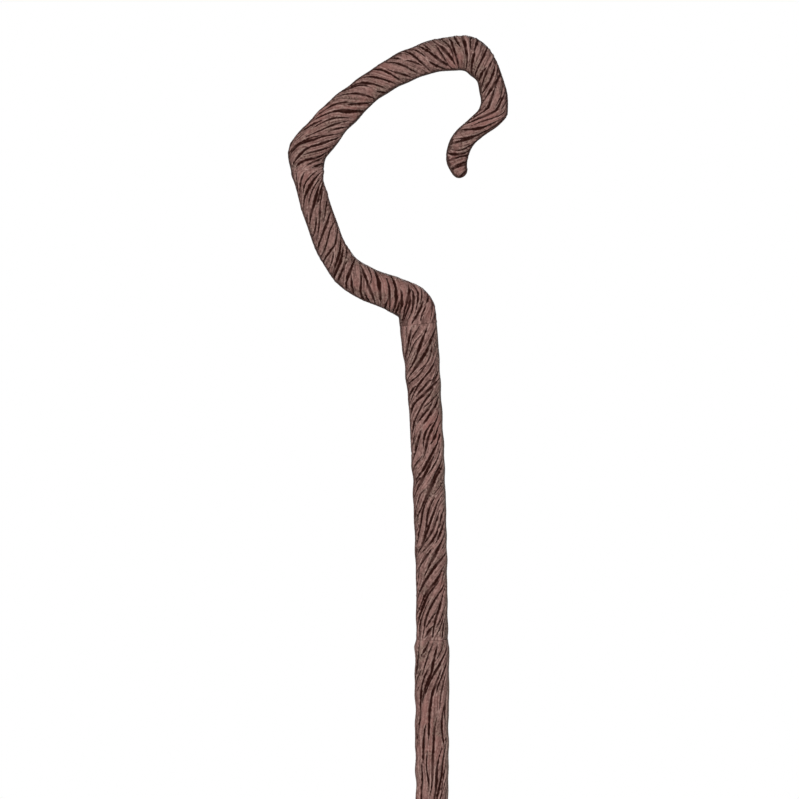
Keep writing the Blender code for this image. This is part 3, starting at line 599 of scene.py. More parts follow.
class Grain:
    """The carved pattern of a shell, on a grid of distances and of angles from the outer seam.

    The grain's direction is a field on that grid, and a groove is a line that follows it. Its half width
    w tapers to its ends. Its relief falls off with the distance d from the line as
    (1 - (d / 1.9w)^2)^1.5, and its wash goes smoothly from 1 within w to 0 outside it.
    """

    # Degrees of slow wandering, and waves: the longest, the shortest and how many
    wander = 9
    wander_waves = (0.07, 0.022, 14)
    ragged_waves = (0.009, 0.0035, 30)
    strand_waves = (0.0042, 0.0018, 60)
    ply_waves = (0.010, 0.0045, 40)
    # How a pattern is drawn out along the grain: steps each way and their length
    fibre_draw = (8, 0.0008)
    strand_draw = (12, 0.0012)
    ply_draw = (14, 0.0016)
    # The most that rings count as spread, and between which spacings the relief rises inside a corner
    most_stretch = 2.5
    pinched = (0.0, 0.45)
    # The land: where its tint, a painted sheen, ends and where carving starts beside it, both from and to
    # in its widths and with a little more, where carving starts at the outer seam, and the room for lines
    # beside it, as its start in land widths, its slope and the least
    land_painted_sheen = (0.5, 1.4, 0.0005)
    land_carving = (0.2, 1.2, 0.001)
    outer_carving = (0.0003, 0.0016)
    land_room = (0.35, 2, 0.0004)
    # Distances from a seam between which its painted shade fades, and how far they wander
    painted_seam_shade_fade = (0.0055, 0.0092)
    painted_seam_shade_wander = 0.0009
    # How far round a line the grid is worked on, in groove spacings
    window_gaps = 2.2
    # A drawn-on line: the room at which it meets another line, the share of its own way that its room has
    # while no other is near, the share of its first turn left after each step, and its length as a share
    # of the longest
    meeting = (0.0006, 0.0018)
    leaving = 0.7
    straightening = 0.88
    drawn_length = (0.4, 1.0)
    # A main groove: distance and least number of the places it is cut at, and its breadth
    place_gap = 0.0007
    least_places = 8
    main_breadth = (0.8, 1.15)
    # A stroke: its spacing, the share of that at which it ends before another and the most of it, its
    # length as a share of its reach, the shift of its middle, and its breadth
    stroke_spacing = (0.75, 1.35)
    stroke_touch = (0.1, 0.4)
    closest = 0.0022
    stroke_length = (0.5, 1.0)
    stroke_shift = (-0.35, 0.35)
    stroke_breadth = (0.6, 1.15)
    # A cut: the power that sets where it is broadest, its two waves of unevenness in radians and their
    # starts, how much breadth and strength follow them, strength a part of the length behind, and the
    # ranges of depth and strength
    fullest = (0.75, 1.35)
    slow_wave = (6, 14)
    quick_wave = (14, 28)
    wave_start = (0, 6)
    uneven_breadth = 0.12
    uneven_strength = 0.16
    strength_parts = 5
    depth_range = (0.8, 1.0)
    strength_range = (0.85, 1.15)
    # Its ends: powers for breadth and depth, slope and power of the wash's fade, and the least half width
    breadth_taper = 0.55
    depth_taper = 0.65
    fade_slope = 2.5
    fade_taper = 0.6
    least_half = 1e-5
    # Spread of its relief in half widths, the relief's power, and the soft and ragged edge of its wash
    spread = 1.9
    relief_power = 1.5
    wash_edge = (-0.0008, 0.0007)
    ragged = 0.14

    def __init__(self, rows, columns, rings, section, side, sizes, rng):
        _, _, width, depth, bend = rings
        self.rows, self.columns = rows, columns
        self.radius = (width + depth) / 2
        self.sizes, self.rng, self.hand = sizes, rng, side
        self.along, self.angle = np.meshgrid(rows, columns, indexing="ij")
        self.across = self.radius[:, None] * self.angle
        stretch = 1 - bend[:, None] * width[:, None] * np.cos(self.angle)
        self.stretch = np.clip(stretch, LEAST_STRETCH, self.most_stretch)
        self.pinch = smooth_step(*self.pinched, stretch)
        distance, lean, spread = np.array(section.grain, float).T
        centre = np.interp(rows, distance, lean)[:, None]
        fan = np.interp(rows, distance, spread)[:, None] * np.cos(self.angle) / 2
        wander = self.wander * self.waved(self.wander_waves)
        self.lean = np.radians(centre + fan + wander)
        self.rough = self.waved(self.ragged_waves)
        inner, outer = self.radius[:, None] * (math.pi - self.angle), self.across
        land = section.land * sizes.land
        # The land's pale tint is a painted sheen along the tube's inner edge
        self.land = 1 - self.off_land(self.land_painted_sheen, land, inner)
        self.carved = self.off_land(self.land_carving, land, inner)
        self.carved *= smooth_step(*self.outer_carving, outer)
        start, slope, least = self.land_room
        self.near = np.clip(inner - land * start, 0, None) * slope + least
        # Painted shade: a dark band along both seams, which darkens the crook's outline as seen from the
        # front
        stained = np.minimum(inner, outer) + self.painted_seam_shade_wander * self.rough
        self.seam = section.stain * (1 - smooth_step(*self.painted_seam_shade_fade, stained))

    def waved(self, form):
        """Waves over the whole shell."""
        return waves(self.rng, self.along, self.across, *form)

    @staticmethod
    def off_land(limits, land, inner):
        """0 on the land, 1 off it, smooth between two shares of its width, the second with a bit more."""
        start, end, more = limits
        return smooth_step(land * start, land * end + more, inner)

    def cell(self, s, angle):
        """The nearest row and column of a place."""
        i = np.rint(np.interp(s, self.rows, np.arange(len(self.rows)))).astype(int)
        j = np.rint(np.interp(angle, self.columns, np.arange(len(self.columns)))).astype(int)
        return i, j

    def inside(self, s, angle):
        """Whether places lie on the grid."""
        return (s > self.rows[0]) & (s < self.rows[-1]) & (angle > 0) & (angle < math.pi)

    def step_along(self, s, angle, step, swing):
        """One step along the grain, turned by swing: distance by the cosine, angle by the sine."""
        i, j = self.cell(s, angle)
        lean = self.lean[i, j] + swing
        ahead = step * np.cos(lean) / self.stretch[i, j]
        aside = self.hand * step * np.sin(lean) / self.radius[i]
        return s + ahead, angle + aside

    def trace(self, s, angle, steps, step, swing, curl):
        """Lines from seeds both ways along the grain, as arrays of seeds by 2 * steps + 1 places."""
        sides = []
        for sense in (-1, 1):
            place = (s, angle)
            line = []
            for k in range(steps):
                place = self.step_along(*place, sense * step, swing + sense * curl * k)
                line.append(place)
            sides.append(np.array(line))
        line = np.concatenate((sides[0][::-1], np.array((s, angle))[None], sides[1]))
        return line[:, 0].T, line[:, 1].T

    def blank(self):
        """Relief and wash with nothing in them."""
        return np.zeros_like(self.lean), np.zeros_like(self.lean)

    def window(self, s, angle):
        """The grid near a line: its rows and columns, and each point's nearest place on the line.

        The distance to that place is given too, and noted in the room that other lines have.
        """
        margin = self.sizes.groove_gap * self.window_gaps
        i, j = self.cell(s, angle)
        radius = self.radius[i].mean()
        stretch = self.stretch[i, j].mean()
        spare_s, spare_angle = margin / stretch, margin / radius
        span_s = s.min() - spare_s, s.max() + spare_s
        span_angle = angle.min() - spare_angle, angle.max() + spare_angle
        rows = slice(*np.searchsorted(self.rows, span_s))
        columns = slice(*np.searchsorted(self.columns, span_angle))
        away_s = (self.rows[rows, None] - s) * stretch
        away_angle = (self.columns[columns, None] - angle) * radius
        square = away_s[:, None] ** 2 + away_angle[None] ** 2
        nearest = square.argmin(2)
        distance = np.sqrt(np.take_along_axis(square, nearest[..., None], 2)[..., 0])
        self.near[rows, columns] = np.minimum(self.near[rows, columns], distance)
        return rows, columns, nearest, distance

    def led_on(self, lines, sense):
        """Places led on from one end of each line along the grain, as its own turn off it dies away."""
        end, before = (-1, -2) if sense > 0 else (0, 1)
        place = np.array([(s[end], angle[end]) for s, angle in lines]).T
        previous = np.array([(s[before], angle[before]) for s, angle in lines]).T
        moves = (place - previous) * sense
        i, j = self.cell(*place)
        heading = np.arctan2(self.hand * moves[1] * self.radius[i], moves[0] * self.stretch[i, j])
        swing = heading - self.lean[i, j]
        traced = []
        for k in range(DRAW_ON_STEPS):
            place = self.step_along(*place, sense * DRAW_ON_STEP, swing * self.straightening**k)
            traced.append(place)
        return np.array(traced)

    def drawn_on(self, lines):
        """Given lines, drawn on at both ends along the grain until they meet another line or an edge."""
        for line in lines:
            self.window(*line)
        longer = list(lines)
        away = np.arange(1, DRAW_ON_STEPS + 1) * DRAW_ON_STEP
        for sense in (-1, 1):
            traced = self.led_on(lines, sense)
            touch = self.rng.uniform(*self.meeting, len(lines))
            wanted = self.rng.uniform(*self.drawn_length, len(lines)) * away[-1]
            for n, line in enumerate(longer):
                s, angle = traced[:, 0, n], traced[:, 1, n]
                room = self.near[self.cell(s, angle)]
                free = self.inside(s, angle) & (away < wanted[n])
                free &= (room > touch[n]) | (room > self.leaving * away)
                count = np.argmin(np.append(free, False))
                if count == 0:
                    continue
                more = s[:count], angle[:count]
                self.window(*more)
                parts = (line, more) if sense > 0 else ((more[0][::-1], more[1][::-1]), line)
                longer[n] = tuple(np.concatenate(row) for row in zip(*parts))
        return longer

    def cut_lines(self, fields, lines, width):
        """Presses given lines into the fields, with evenly spaced places."""
        for s, angle in lines:
            i, j = self.cell(s, angle)
            ahead = np.diff(s) * self.stretch[i, j][1:]
            aside = np.diff(angle) * self.radius[i][1:]
            along = np.concatenate(([0], np.cumsum(np.hypot(ahead, aside))))
            count = max(self.least_places, round(along[-1] / self.place_gap))
            even = np.linspace(0, along[-1], count)
            breadth = width / 2 * self.rng.uniform(*self.main_breadth)
            self.cut(fields, np.interp(even, along, s), np.interp(even, along, angle), breadth)

    def carve(self, fields, stroke, gap, width):
        """Adds strokes of about this spacing and width to the fields.

        Seeds are tried in turn. A line is cut off where it runs into an older one.
        """
        rng = self.rng
        count, steps = stroke.tries, stroke.steps
        step = stroke.reach / steps
        s = rng.uniform(self.rows[0], self.rows[-1], count)
        angle = rng.uniform(0, math.pi, count)
        swing = np.radians(rng.normal(0, stroke.swing, count))
        curl = np.radians(rng.normal(0, stroke.curl, count))
        lines_s, lines_angle = self.trace(s, angle, steps, step, swing, curl)
        inside = self.inside(lines_s, lines_angle)
        lines_i, lines_j = self.cell(lines_s, lines_angle)
        spacing = gap * rng.uniform(*self.stroke_spacing, count)
        touch = np.minimum(spacing * rng.uniform(*self.stroke_touch, count), self.closest)
        most = rng.uniform(*self.stroke_length, count) * steps
        shift = rng.uniform(*self.stroke_shift, count)
        breadth = width / 2 * rng.uniform(*self.stroke_breadth, count)
        for n in range(count):
            room = self.near[lines_i[n], lines_j[n]]
            if room[steps] < spacing[n]:
                continue
            first, last = free_run(inside[n] & (room > touch[n]), steps)
            first = max(first, math.ceil(steps - most[n] * (1 + shift[n])))
            last = min(last, math.floor(steps + most[n] * (1 - shift[n])) + 1)
            if last - first > steps * stroke.least:
                self.cut(fields, lines_s[n, first:last], lines_angle[n, first:last], breadth[n])

    def wave(self, share, speeds):
        """A sine wave along a line, of random speed and start."""
        return np.sin(share * self.rng.uniform(*speeds) + self.rng.uniform(*self.wave_start))

    def cut(self, fields, s, angle, breadth):
        """Presses one line into the relief and wash grids and notes the distance to it."""
        relief, wash = fields
        rows, columns, nearest, distance = self.window(s, angle)
        rng = self.rng
        share = (np.arange(len(s)) + 0.5) / len(s)
        swell = np.sin(math.pi * share ** rng.uniform(*self.fullest))
        uneven = self.wave(share, self.slow_wave) + self.wave(share, self.quick_wave)
        half = breadth * swell**self.breadth_taper * (1 + self.uneven_breadth * uneven)
        half = np.maximum(half, self.least_half)[nearest]
        depth = (swell**self.depth_taper * rng.uniform(*self.depth_range))[nearest]
        fade = np.clip(swell * self.fade_slope, 0, 1) ** self.fade_taper
        behind = np.roll(uneven, len(s) // self.strength_parts)
        strength = rng.uniform(*self.strength_range) + self.uneven_strength * behind
        strength = np.clip(strength, 0, 1)
        rough = distance + self.ragged * breadth * self.rough[rows, columns]
        pressed = np.clip(1 - (distance / half / self.spread) ** 2, 0, 1) ** self.relief_power * depth
        stained = smooth_step(*self.wash_edge, half - rough) * (strength * fade)[nearest]
        relief[rows, columns] = np.maximum(relief[rows, columns], pressed)
        wash[rows, columns] = np.maximum(wash[rows, columns], stained)

    def drawn(self, source, steps, step):
        """A pattern drawn out along the grain: its mean over steps both ways, with a spread of 0.5."""
        total = source.copy()
        for sense in (-1, 1):
            s, angle = self.along, self.angle
            for _ in range(steps):
                s, angle = self.step_along(s, angle, sense * step, 0)
                total += source[self.cell(s, angle)]
        total -= total.mean()
        return np.clip(total / total.std() / 2, -1, 1)

    def fibres(self):
        """Fine fibre: random speckle drawn out along the grain."""
        return self.drawn(self.rng.normal(0, 1, self.lean.shape), *self.fibre_draw)

    def strands(self):
        """Strands of a few millimetres: close waves drawn out along the grain."""
        return self.drawn(self.waved(self.strand_waves), *self.strand_draw)

    def plies(self):
        """Broad plies between the grooves: uneven waves drawn out along the grain."""
        return self.drawn(self.waved(self.ply_waves), *self.ply_draw)


def placed(name, data):
    """A new object in the scene."""
    made = bpy.data.objects.new(name, data)
    bpy.context.scene.collection.objects.link(made)
    return made


def new_piece(name, points, quads, triangles, smooth, fields=()):
    """A mesh object from arrays. Its faces are turned round if its volume comes out negative."""
    loops = np.concatenate((quads.ravel(), triangles.ravel()))
    four, three = np.arange(len(quads)) * 4, np.arange(len(triangles)) * 3
    starts = np.concatenate((four, len(quads) * 4 + three))
    fans = np.concatenate((quads[:, (0, 1, 2)], quads[:, (0, 2, 3)], triangles))
    a, b, c = (points[fans[:, k]] for k in range(3))
    volume = np.einsum("ij,ij->", a, np.cross(b, c)) / 6
    if volume < 0:
        loops = np.concatenate((quads[:, ::-1].ravel(), triangles[:, ::-1].ravel()))
    mesh = bpy.data.meshes.new(name)
    mesh.vertices.add(len(points))
    mesh.vertices.foreach_set("co", points.astype(np.float32).ravel())
    mesh.loops.add(len(loops))
    mesh.loops.foreach_set("vertex_index", loops.astype(np.int32))
    mesh.polygons.add(len(starts))
    mesh.polygons.foreach_set("loop_start", starts.astype(np.int32))
    mesh.polygons.foreach_set("use_smooth", smooth)
    for field, values in fields:
        layer = mesh.attributes.new(field, "FLOAT", "POINT")
        layer.data.foreach_set("value", values.astype(np.float32).ravel())
    mesh.update(calc_edges=True)
    if mesh.validate():
        raise RuntimeError(f"{name}: the mesh had to be repaired")
    return placed(name, mesh)


def edge_drop(distance, radius):
    """How far a rounded edge falls below its face at a distance from the edge: a quarter circle."""
    short = np.clip(1 - distance / radius, 0, 1)
    return radius * (1 - np.sqrt(1 - short * short))


def fine_ends(first, last, pitch, edge):
    """Even values with a few closer ones at both ends."""
    count = max(FEWEST_STEPS, math.ceil((last - first) / pitch))
    ends, clear = edge * np.array(EDGE_POINTS), edge * EDGE_CLEAR
    even = np.linspace(first, last, count + 1)
    even = even[(even > first + clear) & (even < last - clear)]
    return np.concatenate((first + ends, even, last - ends[::-1]))


def socket_line(path, centres, ribs, at_end):
    """Where a socket's straight axis crosses each ring's plane.

    Gives the offset along the rib, and the rib's tilt: its share that is square to the axis.
    """
    place, heading = (path.end, path.end_heading) if at_end else (path.start, path.start_heading)
    ahead, up = Path.forward(heading)
    side = np.array((-up, ahead))
    tilt = ribs @ side
    return -((centres - place) @ side) / tilt, tilt


def shell_inside(section, rows, rings, sizes):
    """The inner arc of every ring: offset along the rib, half width and half depth.

    A socket is a bore round its straight axis, then a narrower ledge, then a taper into the hollow. A
    section without an upper socket is solid at its tip, where the inner arc is flat on the seam.
    """
    centres, ribs, width, depth, _ = rings
    path = section.path
    offset = np.zeros_like(rows)
    half_width, half_depth = width - sizes.wall, depth - sizes.wall
    ends = ((section.lower, rows, False), (section.upper, path.length - rows, True))
    for socket, distance, at_end in ends:
        if socket is None:
            continue
        line, tilt = socket_line(path, centres, ribs, at_end)
        bore = socket.bore - LEDGE_WIDTH * np.clip((distance - socket.depth) / sizes.grid, 0, 1)
        hollow = np.clip((distance - socket.depth - LEDGE_LENGTH) / LEDGE_TAPER, 0, 1)
        eased_width = bore / np.abs(tilt) * (1 - hollow) + half_width * hollow
        eased_depth = bore * (1 - hollow) + half_depth * hollow
        offset = np.where(hollow < 1, line * (1 - hollow), offset)
        half_width = np.where(hollow < 1, eased_width, half_width)
        half_depth = np.where(hollow < 1, eased_depth, half_depth)
    if section.upper is None:
        solid = rows > path.length - TIP_SOLID_LENGTH
        half_width = np.where(solid, width * TIP_SEAM, half_width)
        half_depth = np.where(solid, sizes.seam / 2, half_depth)
    return offset, half_width, half_depth


def held(height, most):
    """Depths held under a most: as they are up to a share of it, then closing in on it as a tanh."""
    share = np.maximum(-height / most, 0)
    spare = 1 - HELD_SHARE
    closing = HELD_SHARE + spare * np.tanh((share - HELD_SHARE) / spare)
    return np.where(share > HELD_SHARE, -most * closing, height)


def shell_relief(section, side, sizes, rows, columns, rings, rim, wall):
    """The height of the carved surface over the plain tube, and the fields that its finish reads.

    Slow swell, plies, strands and fibre add up, the deeper of groove and thin line is taken off, all fade
    out where the inside of a corner pinches the rings, the wall is left thick enough, rims and seam edges
    are rounded, and the shoulder draws in.
    """
    width = rings[2]
    rng = np.random.default_rng(sizes.seed * 100 + section.seed * 10 + (side > 0))
    grain = Grain(rows, columns, rings, section, side, sizes, rng)
    grooves, wash = fields = grain.blank()
    grain.cut_lines(fields, grain.drawn_on(main_lines(section, side)), sizes.groove_width)
    grain.carve(fields, LESSER_GROOVES, sizes.groove_gap, sizes.groove_width * LESSER_WIDTH)
    lines, scratch = fields = grain.blank()
    grain.carve(fields, THIN_LINES, sizes.groove_gap * THIN_SPACING, sizes.line_width)
    fibre, strand, ply = grain.fibres(), grain.strands(), grain.plies()
    carved = grain.carved
    calm = LAND_SHARE + (1 - LAND_SHARE) * carved
    tip = tip_share(width)[:, None]
    both = np.random.default_rng(section.seed)
    swell = waves(both, grain.along, grain.across, *SWELL_WAVES)
    swell = smooth_step(0, SWELL_RIM, rim)[:, None] * swell
    height = sizes.swell * swell + sizes.fibre * fibre * calm
    height += sizes.ply * (ply - PLY_LEVEL) * carved + sizes.strand * strand * calm
    height -= np.maximum(sizes.groove_depth * grooves, sizes.line_depth * lines) * carved
    height = held(height * tip * grain.pinch, np.maximum(wall - sizes.floor, LEAST_DEPTH))
    seam = np.minimum(grain.across, grain.radius[:, None] * math.pi - grain.across)
    height -= np.maximum(edge_drop(seam, sizes.edge) * tip, edge_drop(rim, sizes.edge)[:, None])
    shoulder = smooth_step(SHOULDER_LENGTH, 0, section.path.length - rows)
    height -= section.shoulder * sizes.shoulder * shoulder[:, None]
    return height, (
        ("groove", wash * carved),
        ("line", scratch * carved),
        ("relief", grooves * carved),
        ("fibre", fibre),
        ("strand", strand * calm),
        ("ply", ply * carved),
        # the land's tint, a painted sheen
        ("land", grain.land),
        # the painted shade along both seams
        ("seam", grain.seam),
    )


def tip_share(width):
    """1 on the full section, down to 0 at the very tip."""
    return np.clip(width / TIP_WIDTH, 0, 1)


def seam_lip(around, out, inner_around, side, height):
    """The two points of a seam face that make the rear shell's tongue or the front shell's rebate.

    Both lie on the line between the outer edge and the inner edge, at shares of the wall from the inner
    edge. The first is on the seam face, and the second is off it by the lip's height.
    """
    shares = TONGUE_WALL if side > 0 else REBATE_WALL
    places = [inner_around + (around - inner_around) * share for share in shares]
    return np.stack(places, 1), np.stack((out, out - side * height), 1)


def inside_shift(rows, columns, rings):
    """How far the inside of a corner moves to its running mean along the section, which rounds it."""
    centres, ribs, width, _, bend = rings
    around = width[:, None] * np.cos(columns)
    tube = centres[:, None] + ribs[:, None] * around[..., None]
    share = smooth_step(*INSIDE_SPACING, 1 - bend[:, None] * around)
    return share[..., None] * (running_mean(rows, tube, INSIDE_BLEND, INSIDE_REACH) - tube)


def shell_faces(count, outer, inner):
    """Faces of a stack of rings of outer and inner points, and which of them are smooth.

    They are four-sided between rings and three-sided on both ends. An end is a strip between the outer
    arc and the rest of the ring, which steps on in even shares.
    """
    total = outer + inner
    index = np.arange(count * total).reshape(count, total)
    ahead = np.roll(index, -1, 1)
    quads = np.stack((index[:-1], ahead[:-1], ahead[1:], index[1:]), 2).reshape(-1, 4)
    smooth = np.ones((count - 1, total), bool)
    smooth[:, outer - 1 : outer + 2] = False
    smooth[:, -3:] = False
    j = np.arange(outer - 1)
    m = np.rint(np.arange(outer) * (inner - 1) / (outer - 1)).astype(int)
    opposite = total - 1 - m
    fans = np.stack((j + 1, j, opposite[:-1]), 1)
    steps = np.stack((opposite[:-1], opposite[1:], j + 1), 1)[m[1:] > m[:-1]]
    cap = np.concatenate((fans, steps))
    triangles = np.concatenate((cap, cap[:, ::-1] + (count - 1) * total))
    return quads, triangles, np.concatenate((smooth.ravel(), np.zeros(len(triangles), bool)))


def shell_rows(path, sizes):
    """Distances of a shell's rings, closer together at rims, and how far each is from the nearest rim.

    A domed end has no rim: its rings are the path's own.
    """
    first, last = -sizes.rim, path.length + (0 if path.domed else sizes.rim)
    rows = fine_ends(first, last, sizes.grid, sizes.edge)
    if not path.domed:
        return rows, np.minimum(rows - first, last - rows)
    dome = path.stations[-path.dome_rows + 1 :, 0]
    rows = np.concatenate((rows[rows <= path.length - sizes.grid], [path.length], dome))
    return rows, rows - first


def half_shell(section, side, sizes):
    """The front (side -1) or rear (side +1) shell of a section.

    Each ring is a closed loop: the outer arc (width cos a, depth sin a) with its relief, a seam face, the
    inner arc and the other seam face.
    """
    rows, rim = shell_rows(section.path, sizes)
    rings = section.path.rings(rows, shell=True)
    centres, ribs, width, depth, _ = rings
    arc = math.pi * float(np.median(width))
    columns = fine_ends(0, math.pi, math.pi * sizes.grid / arc, math.pi * sizes.edge / arc)
    offset, inner_width, inner_depth = shell_inside(section, rows, rings, sizes)
    beside = (width - inner_width)[:, None] - offset[:, None] * np.cos(columns)
    wall = beside * np.cos(columns) ** 2 + (depth - inner_depth)[:, None] * np.sin(columns) ** 2
    height, fields = shell_relief(section, side, sizes, rows, columns, rings, rim, wall)
    around = (width[:, None] + height) * np.cos(columns)
    out = sizes.seam / 2 + (depth[:, None] + height) * np.sin(columns)
    inner_angle = np.linspace(math.pi, 0, INNER_POINTS)
    inner_around = offset[:, None] + inner_width[:, None] * np.cos(inner_angle)
    inner_out = sizes.seam / 2 + (inner_depth - sizes.seam / 2)[:, None] * np.sin(inner_angle)
    lip = (sizes.tongue + sizes.seam / 2) * smooth_step(0, TONGUE_RIM, rim) * tip_share(width)
    inner_out[:, (0, -1)] -= side * lip[:, None]
    near, near_out = seam_lip(around[:, -1], out[:, -1], inner_around[:, 0], side, lip)
    far, far_out = seam_lip(around[:, 0], out[:, 0], inner_around[:, -1], side, lip)
    around = np.concatenate((around, near, inner_around, far[:, ::-1]), 1)
    out = np.concatenate((out, near_out, inner_out, far_out[:, ::-1]), 1)
    count, outer, inner = len(rows), len(columns), around.shape[1] - len(columns)
    flat = centres[:, None] + ribs[:, None] * around[..., None]
    flat[:, :outer] += inside_shift(rows, columns, rings)
    points = np.stack((flat[..., 0], side * out, flat[..., 1]), 2).reshape(-1, 3)
    pad = np.zeros((count, inner))
    fields = [(field, np.concatenate((values, pad), 1)) for field, values in fields]
    name = f"{section.name}_{'rear' if side > 0 else 'front'}_grain"
    return new_piece(name, points, *shell_faces(count, outer, inner), fields)


def turned(name, profile, place, heading):
    """A ring turned about an axis in the XZ plane from a closed profile of (radius, height) points.

    A point at angle a is place + height * axis + radius * (cos a * across + sin a * Y).
    """
    profile = np.array(profile, float)
    angle = np.arange(TURNED_SIDES) * 2 * math.pi / TURNED_SIDES
    axis = Path.forward(heading)
    across = np.array((axis[1], -axis[0]))
    level = np.array(place) + profile[:, 1:] * axis
    flat = level[:, None] + (profile[:, :1] * np.cos(angle))[..., None] * across
    y = profile[:, :1] * np.sin(angle)
    points = np.stack((flat[..., 0], y, flat[..., 1]), 2)
    index = np.arange(len(profile) * TURNED_SIDES).reshape(len(profile), TURNED_SIDES)
    up, on = np.roll(index, -1, 0), np.roll(index, -1, 1)
    both = np.roll(up, -1, 1)
    quads = np.stack((index, on, both, up), 2).reshape(-1, 4)
    smooth = np.ones(len(quads), bool)
    piece = new_piece(name, points.reshape(-1, 3), quads, np.zeros((0, 3), int), smooth)
    piece.data.set_sharp_from_angle(angle=math.radians(SHARP_ANGLE))
    return piece


def rounded(corners, radius):
    """A profile whose corners are arcs: each is a quadratic curve from one side to the other."""
    corners = np.array(corners, float)
    before, after = np.roll(corners, 1, 0) - corners, np.roll(corners, -1, 0) - corners
    size = np.linalg.norm(before, axis=1), np.linalg.norm(after, axis=1)
    reach = np.minimum(radius, np.minimum(*size) * ARC_SHARE)
    first = corners + before / size[0][:, None] * reach[:, None]
    last = corners + after / size[1][:, None] * reach[:, None]
    first, middle, last = first[:, None], corners[:, None], last[:, None]
    t = np.linspace(0, 1, ARC_POINTS)[None, :, None]
    bend = first * (1 - t) ** 2 + 2 * middle * t * (1 - t) + last * t * t
    return bend.reshape(-1, 2)


class Wire:
    """A shader socket that takes part in sums: each sum adds one Math node."""

    def __init__(self, bench, socket):
        self.bench = bench
        self.socket = socket

    def math(self, operation, first, second):
        """One Math node on two values."""
        return self.bench.node("ShaderNodeMath", {"operation": operation}, {0: first, 1: second})

    def __add__(self, other):
        return self.math("ADD", self, other)

    __radd__ = __add__

    def __sub__(self, other):
        return self.math("SUBTRACT", self, other)

    def __rsub__(self, other):
        return self.math("SUBTRACT", other, self)

    def __mul__(self, other):
        return self.math("MULTIPLY", self, other)

    __rmul__ = __mul__


class Bench:
    """The node tree of a material or of the world."""

    def __init__(self, owner):
        owner.use_nodes = True
        self.owner = owner
        self.tree = owner.node_tree
        self.tree.nodes.clear()

    def node(self, kind, settings=None, sockets=None, output=0):
        """Adds a node, settings first, then the values or links of its sockets, and gives one output."""
        made = self.tree.nodes.new(kind)
        for name, value in (settings or {}).items():
            setattr(made, name, value)
        for name, value in (sockets or {}).items():
            if isinstance(value, Wire):
                self.tree.links.new(value.socket, made.inputs[name])
            else:
                made.inputs[name].default_value = value
        return Wire(self, made.outputs[output]) if made.outputs else None

    def field(self, name):
        """A value stored on the piece's points."""
        return self.node("ShaderNodeAttribute", {"attribute_name": name}, output="Fac")

    def place(self):
        """Object coordinates, in metres."""
        return self.node("ShaderNodeTexCoord", output="Object")

    def noise(self, scale, detail, roughness, stretch=(1, 1, 1)):
        """Noise of about scale features a metre, from 0 to 1."""
        spot = self.node("ShaderNodeMapping", None, {"Vector": self.place(), "Scale": stretch})
        sockets = {"Vector": spot, "Scale": scale, "Detail": detail, "Roughness": roughness}
        return self.node("ShaderNodeTexNoise", None, sockets)

    def ease(self, value, low, high):
        """0 below low, 1 above high, smooth between."""
        sockets = {"Value": value, "From Min": low, "From Max": high}
        return self.node("ShaderNodeMapRange", {"interpolation_type": "SMOOTHSTEP"}, sockets)

    def blend(self, share, first, second):
        """A mix of two colours."""
        sockets = {0: share, 6: self.paint(first), 7: self.paint(second)}
        return self.node("ShaderNodeMix", {"data_type": "RGBA"}, sockets, output=2)

    @staticmethod
    def paint(colour):
        """A colour with its alpha, or a link as it is."""
        return colour if isinstance(colour, Wire) else (*colour, 1)

    def bump(self, height, strength, distance):
        """A normal from a height."""
        sockets = {"Height": height, "Strength": strength, "Distance": distance}
        return self.node("ShaderNodeBump", None, sockets)

    def seen(self):
        """1 for a ray that shows the surround: from the camera, off gloss or through glass."""
        outputs = ("Is Camera Ray", "Is Glossy Ray", "Is Transmission Ray")
        straight, glossy, through = (self.node("ShaderNodeLightPath", output=name) for name in outputs)
        return self.node("ShaderNodeClamp", None, {"Value": straight + glossy + through})

    def finish(self, sockets):
        """The Principled shader and the output."""
        shader = self.node("ShaderNodeBsdfPrincipled", None, sockets)
        self.node("ShaderNodeOutputMaterial", None, {"Surface": shader})
        return self.owner


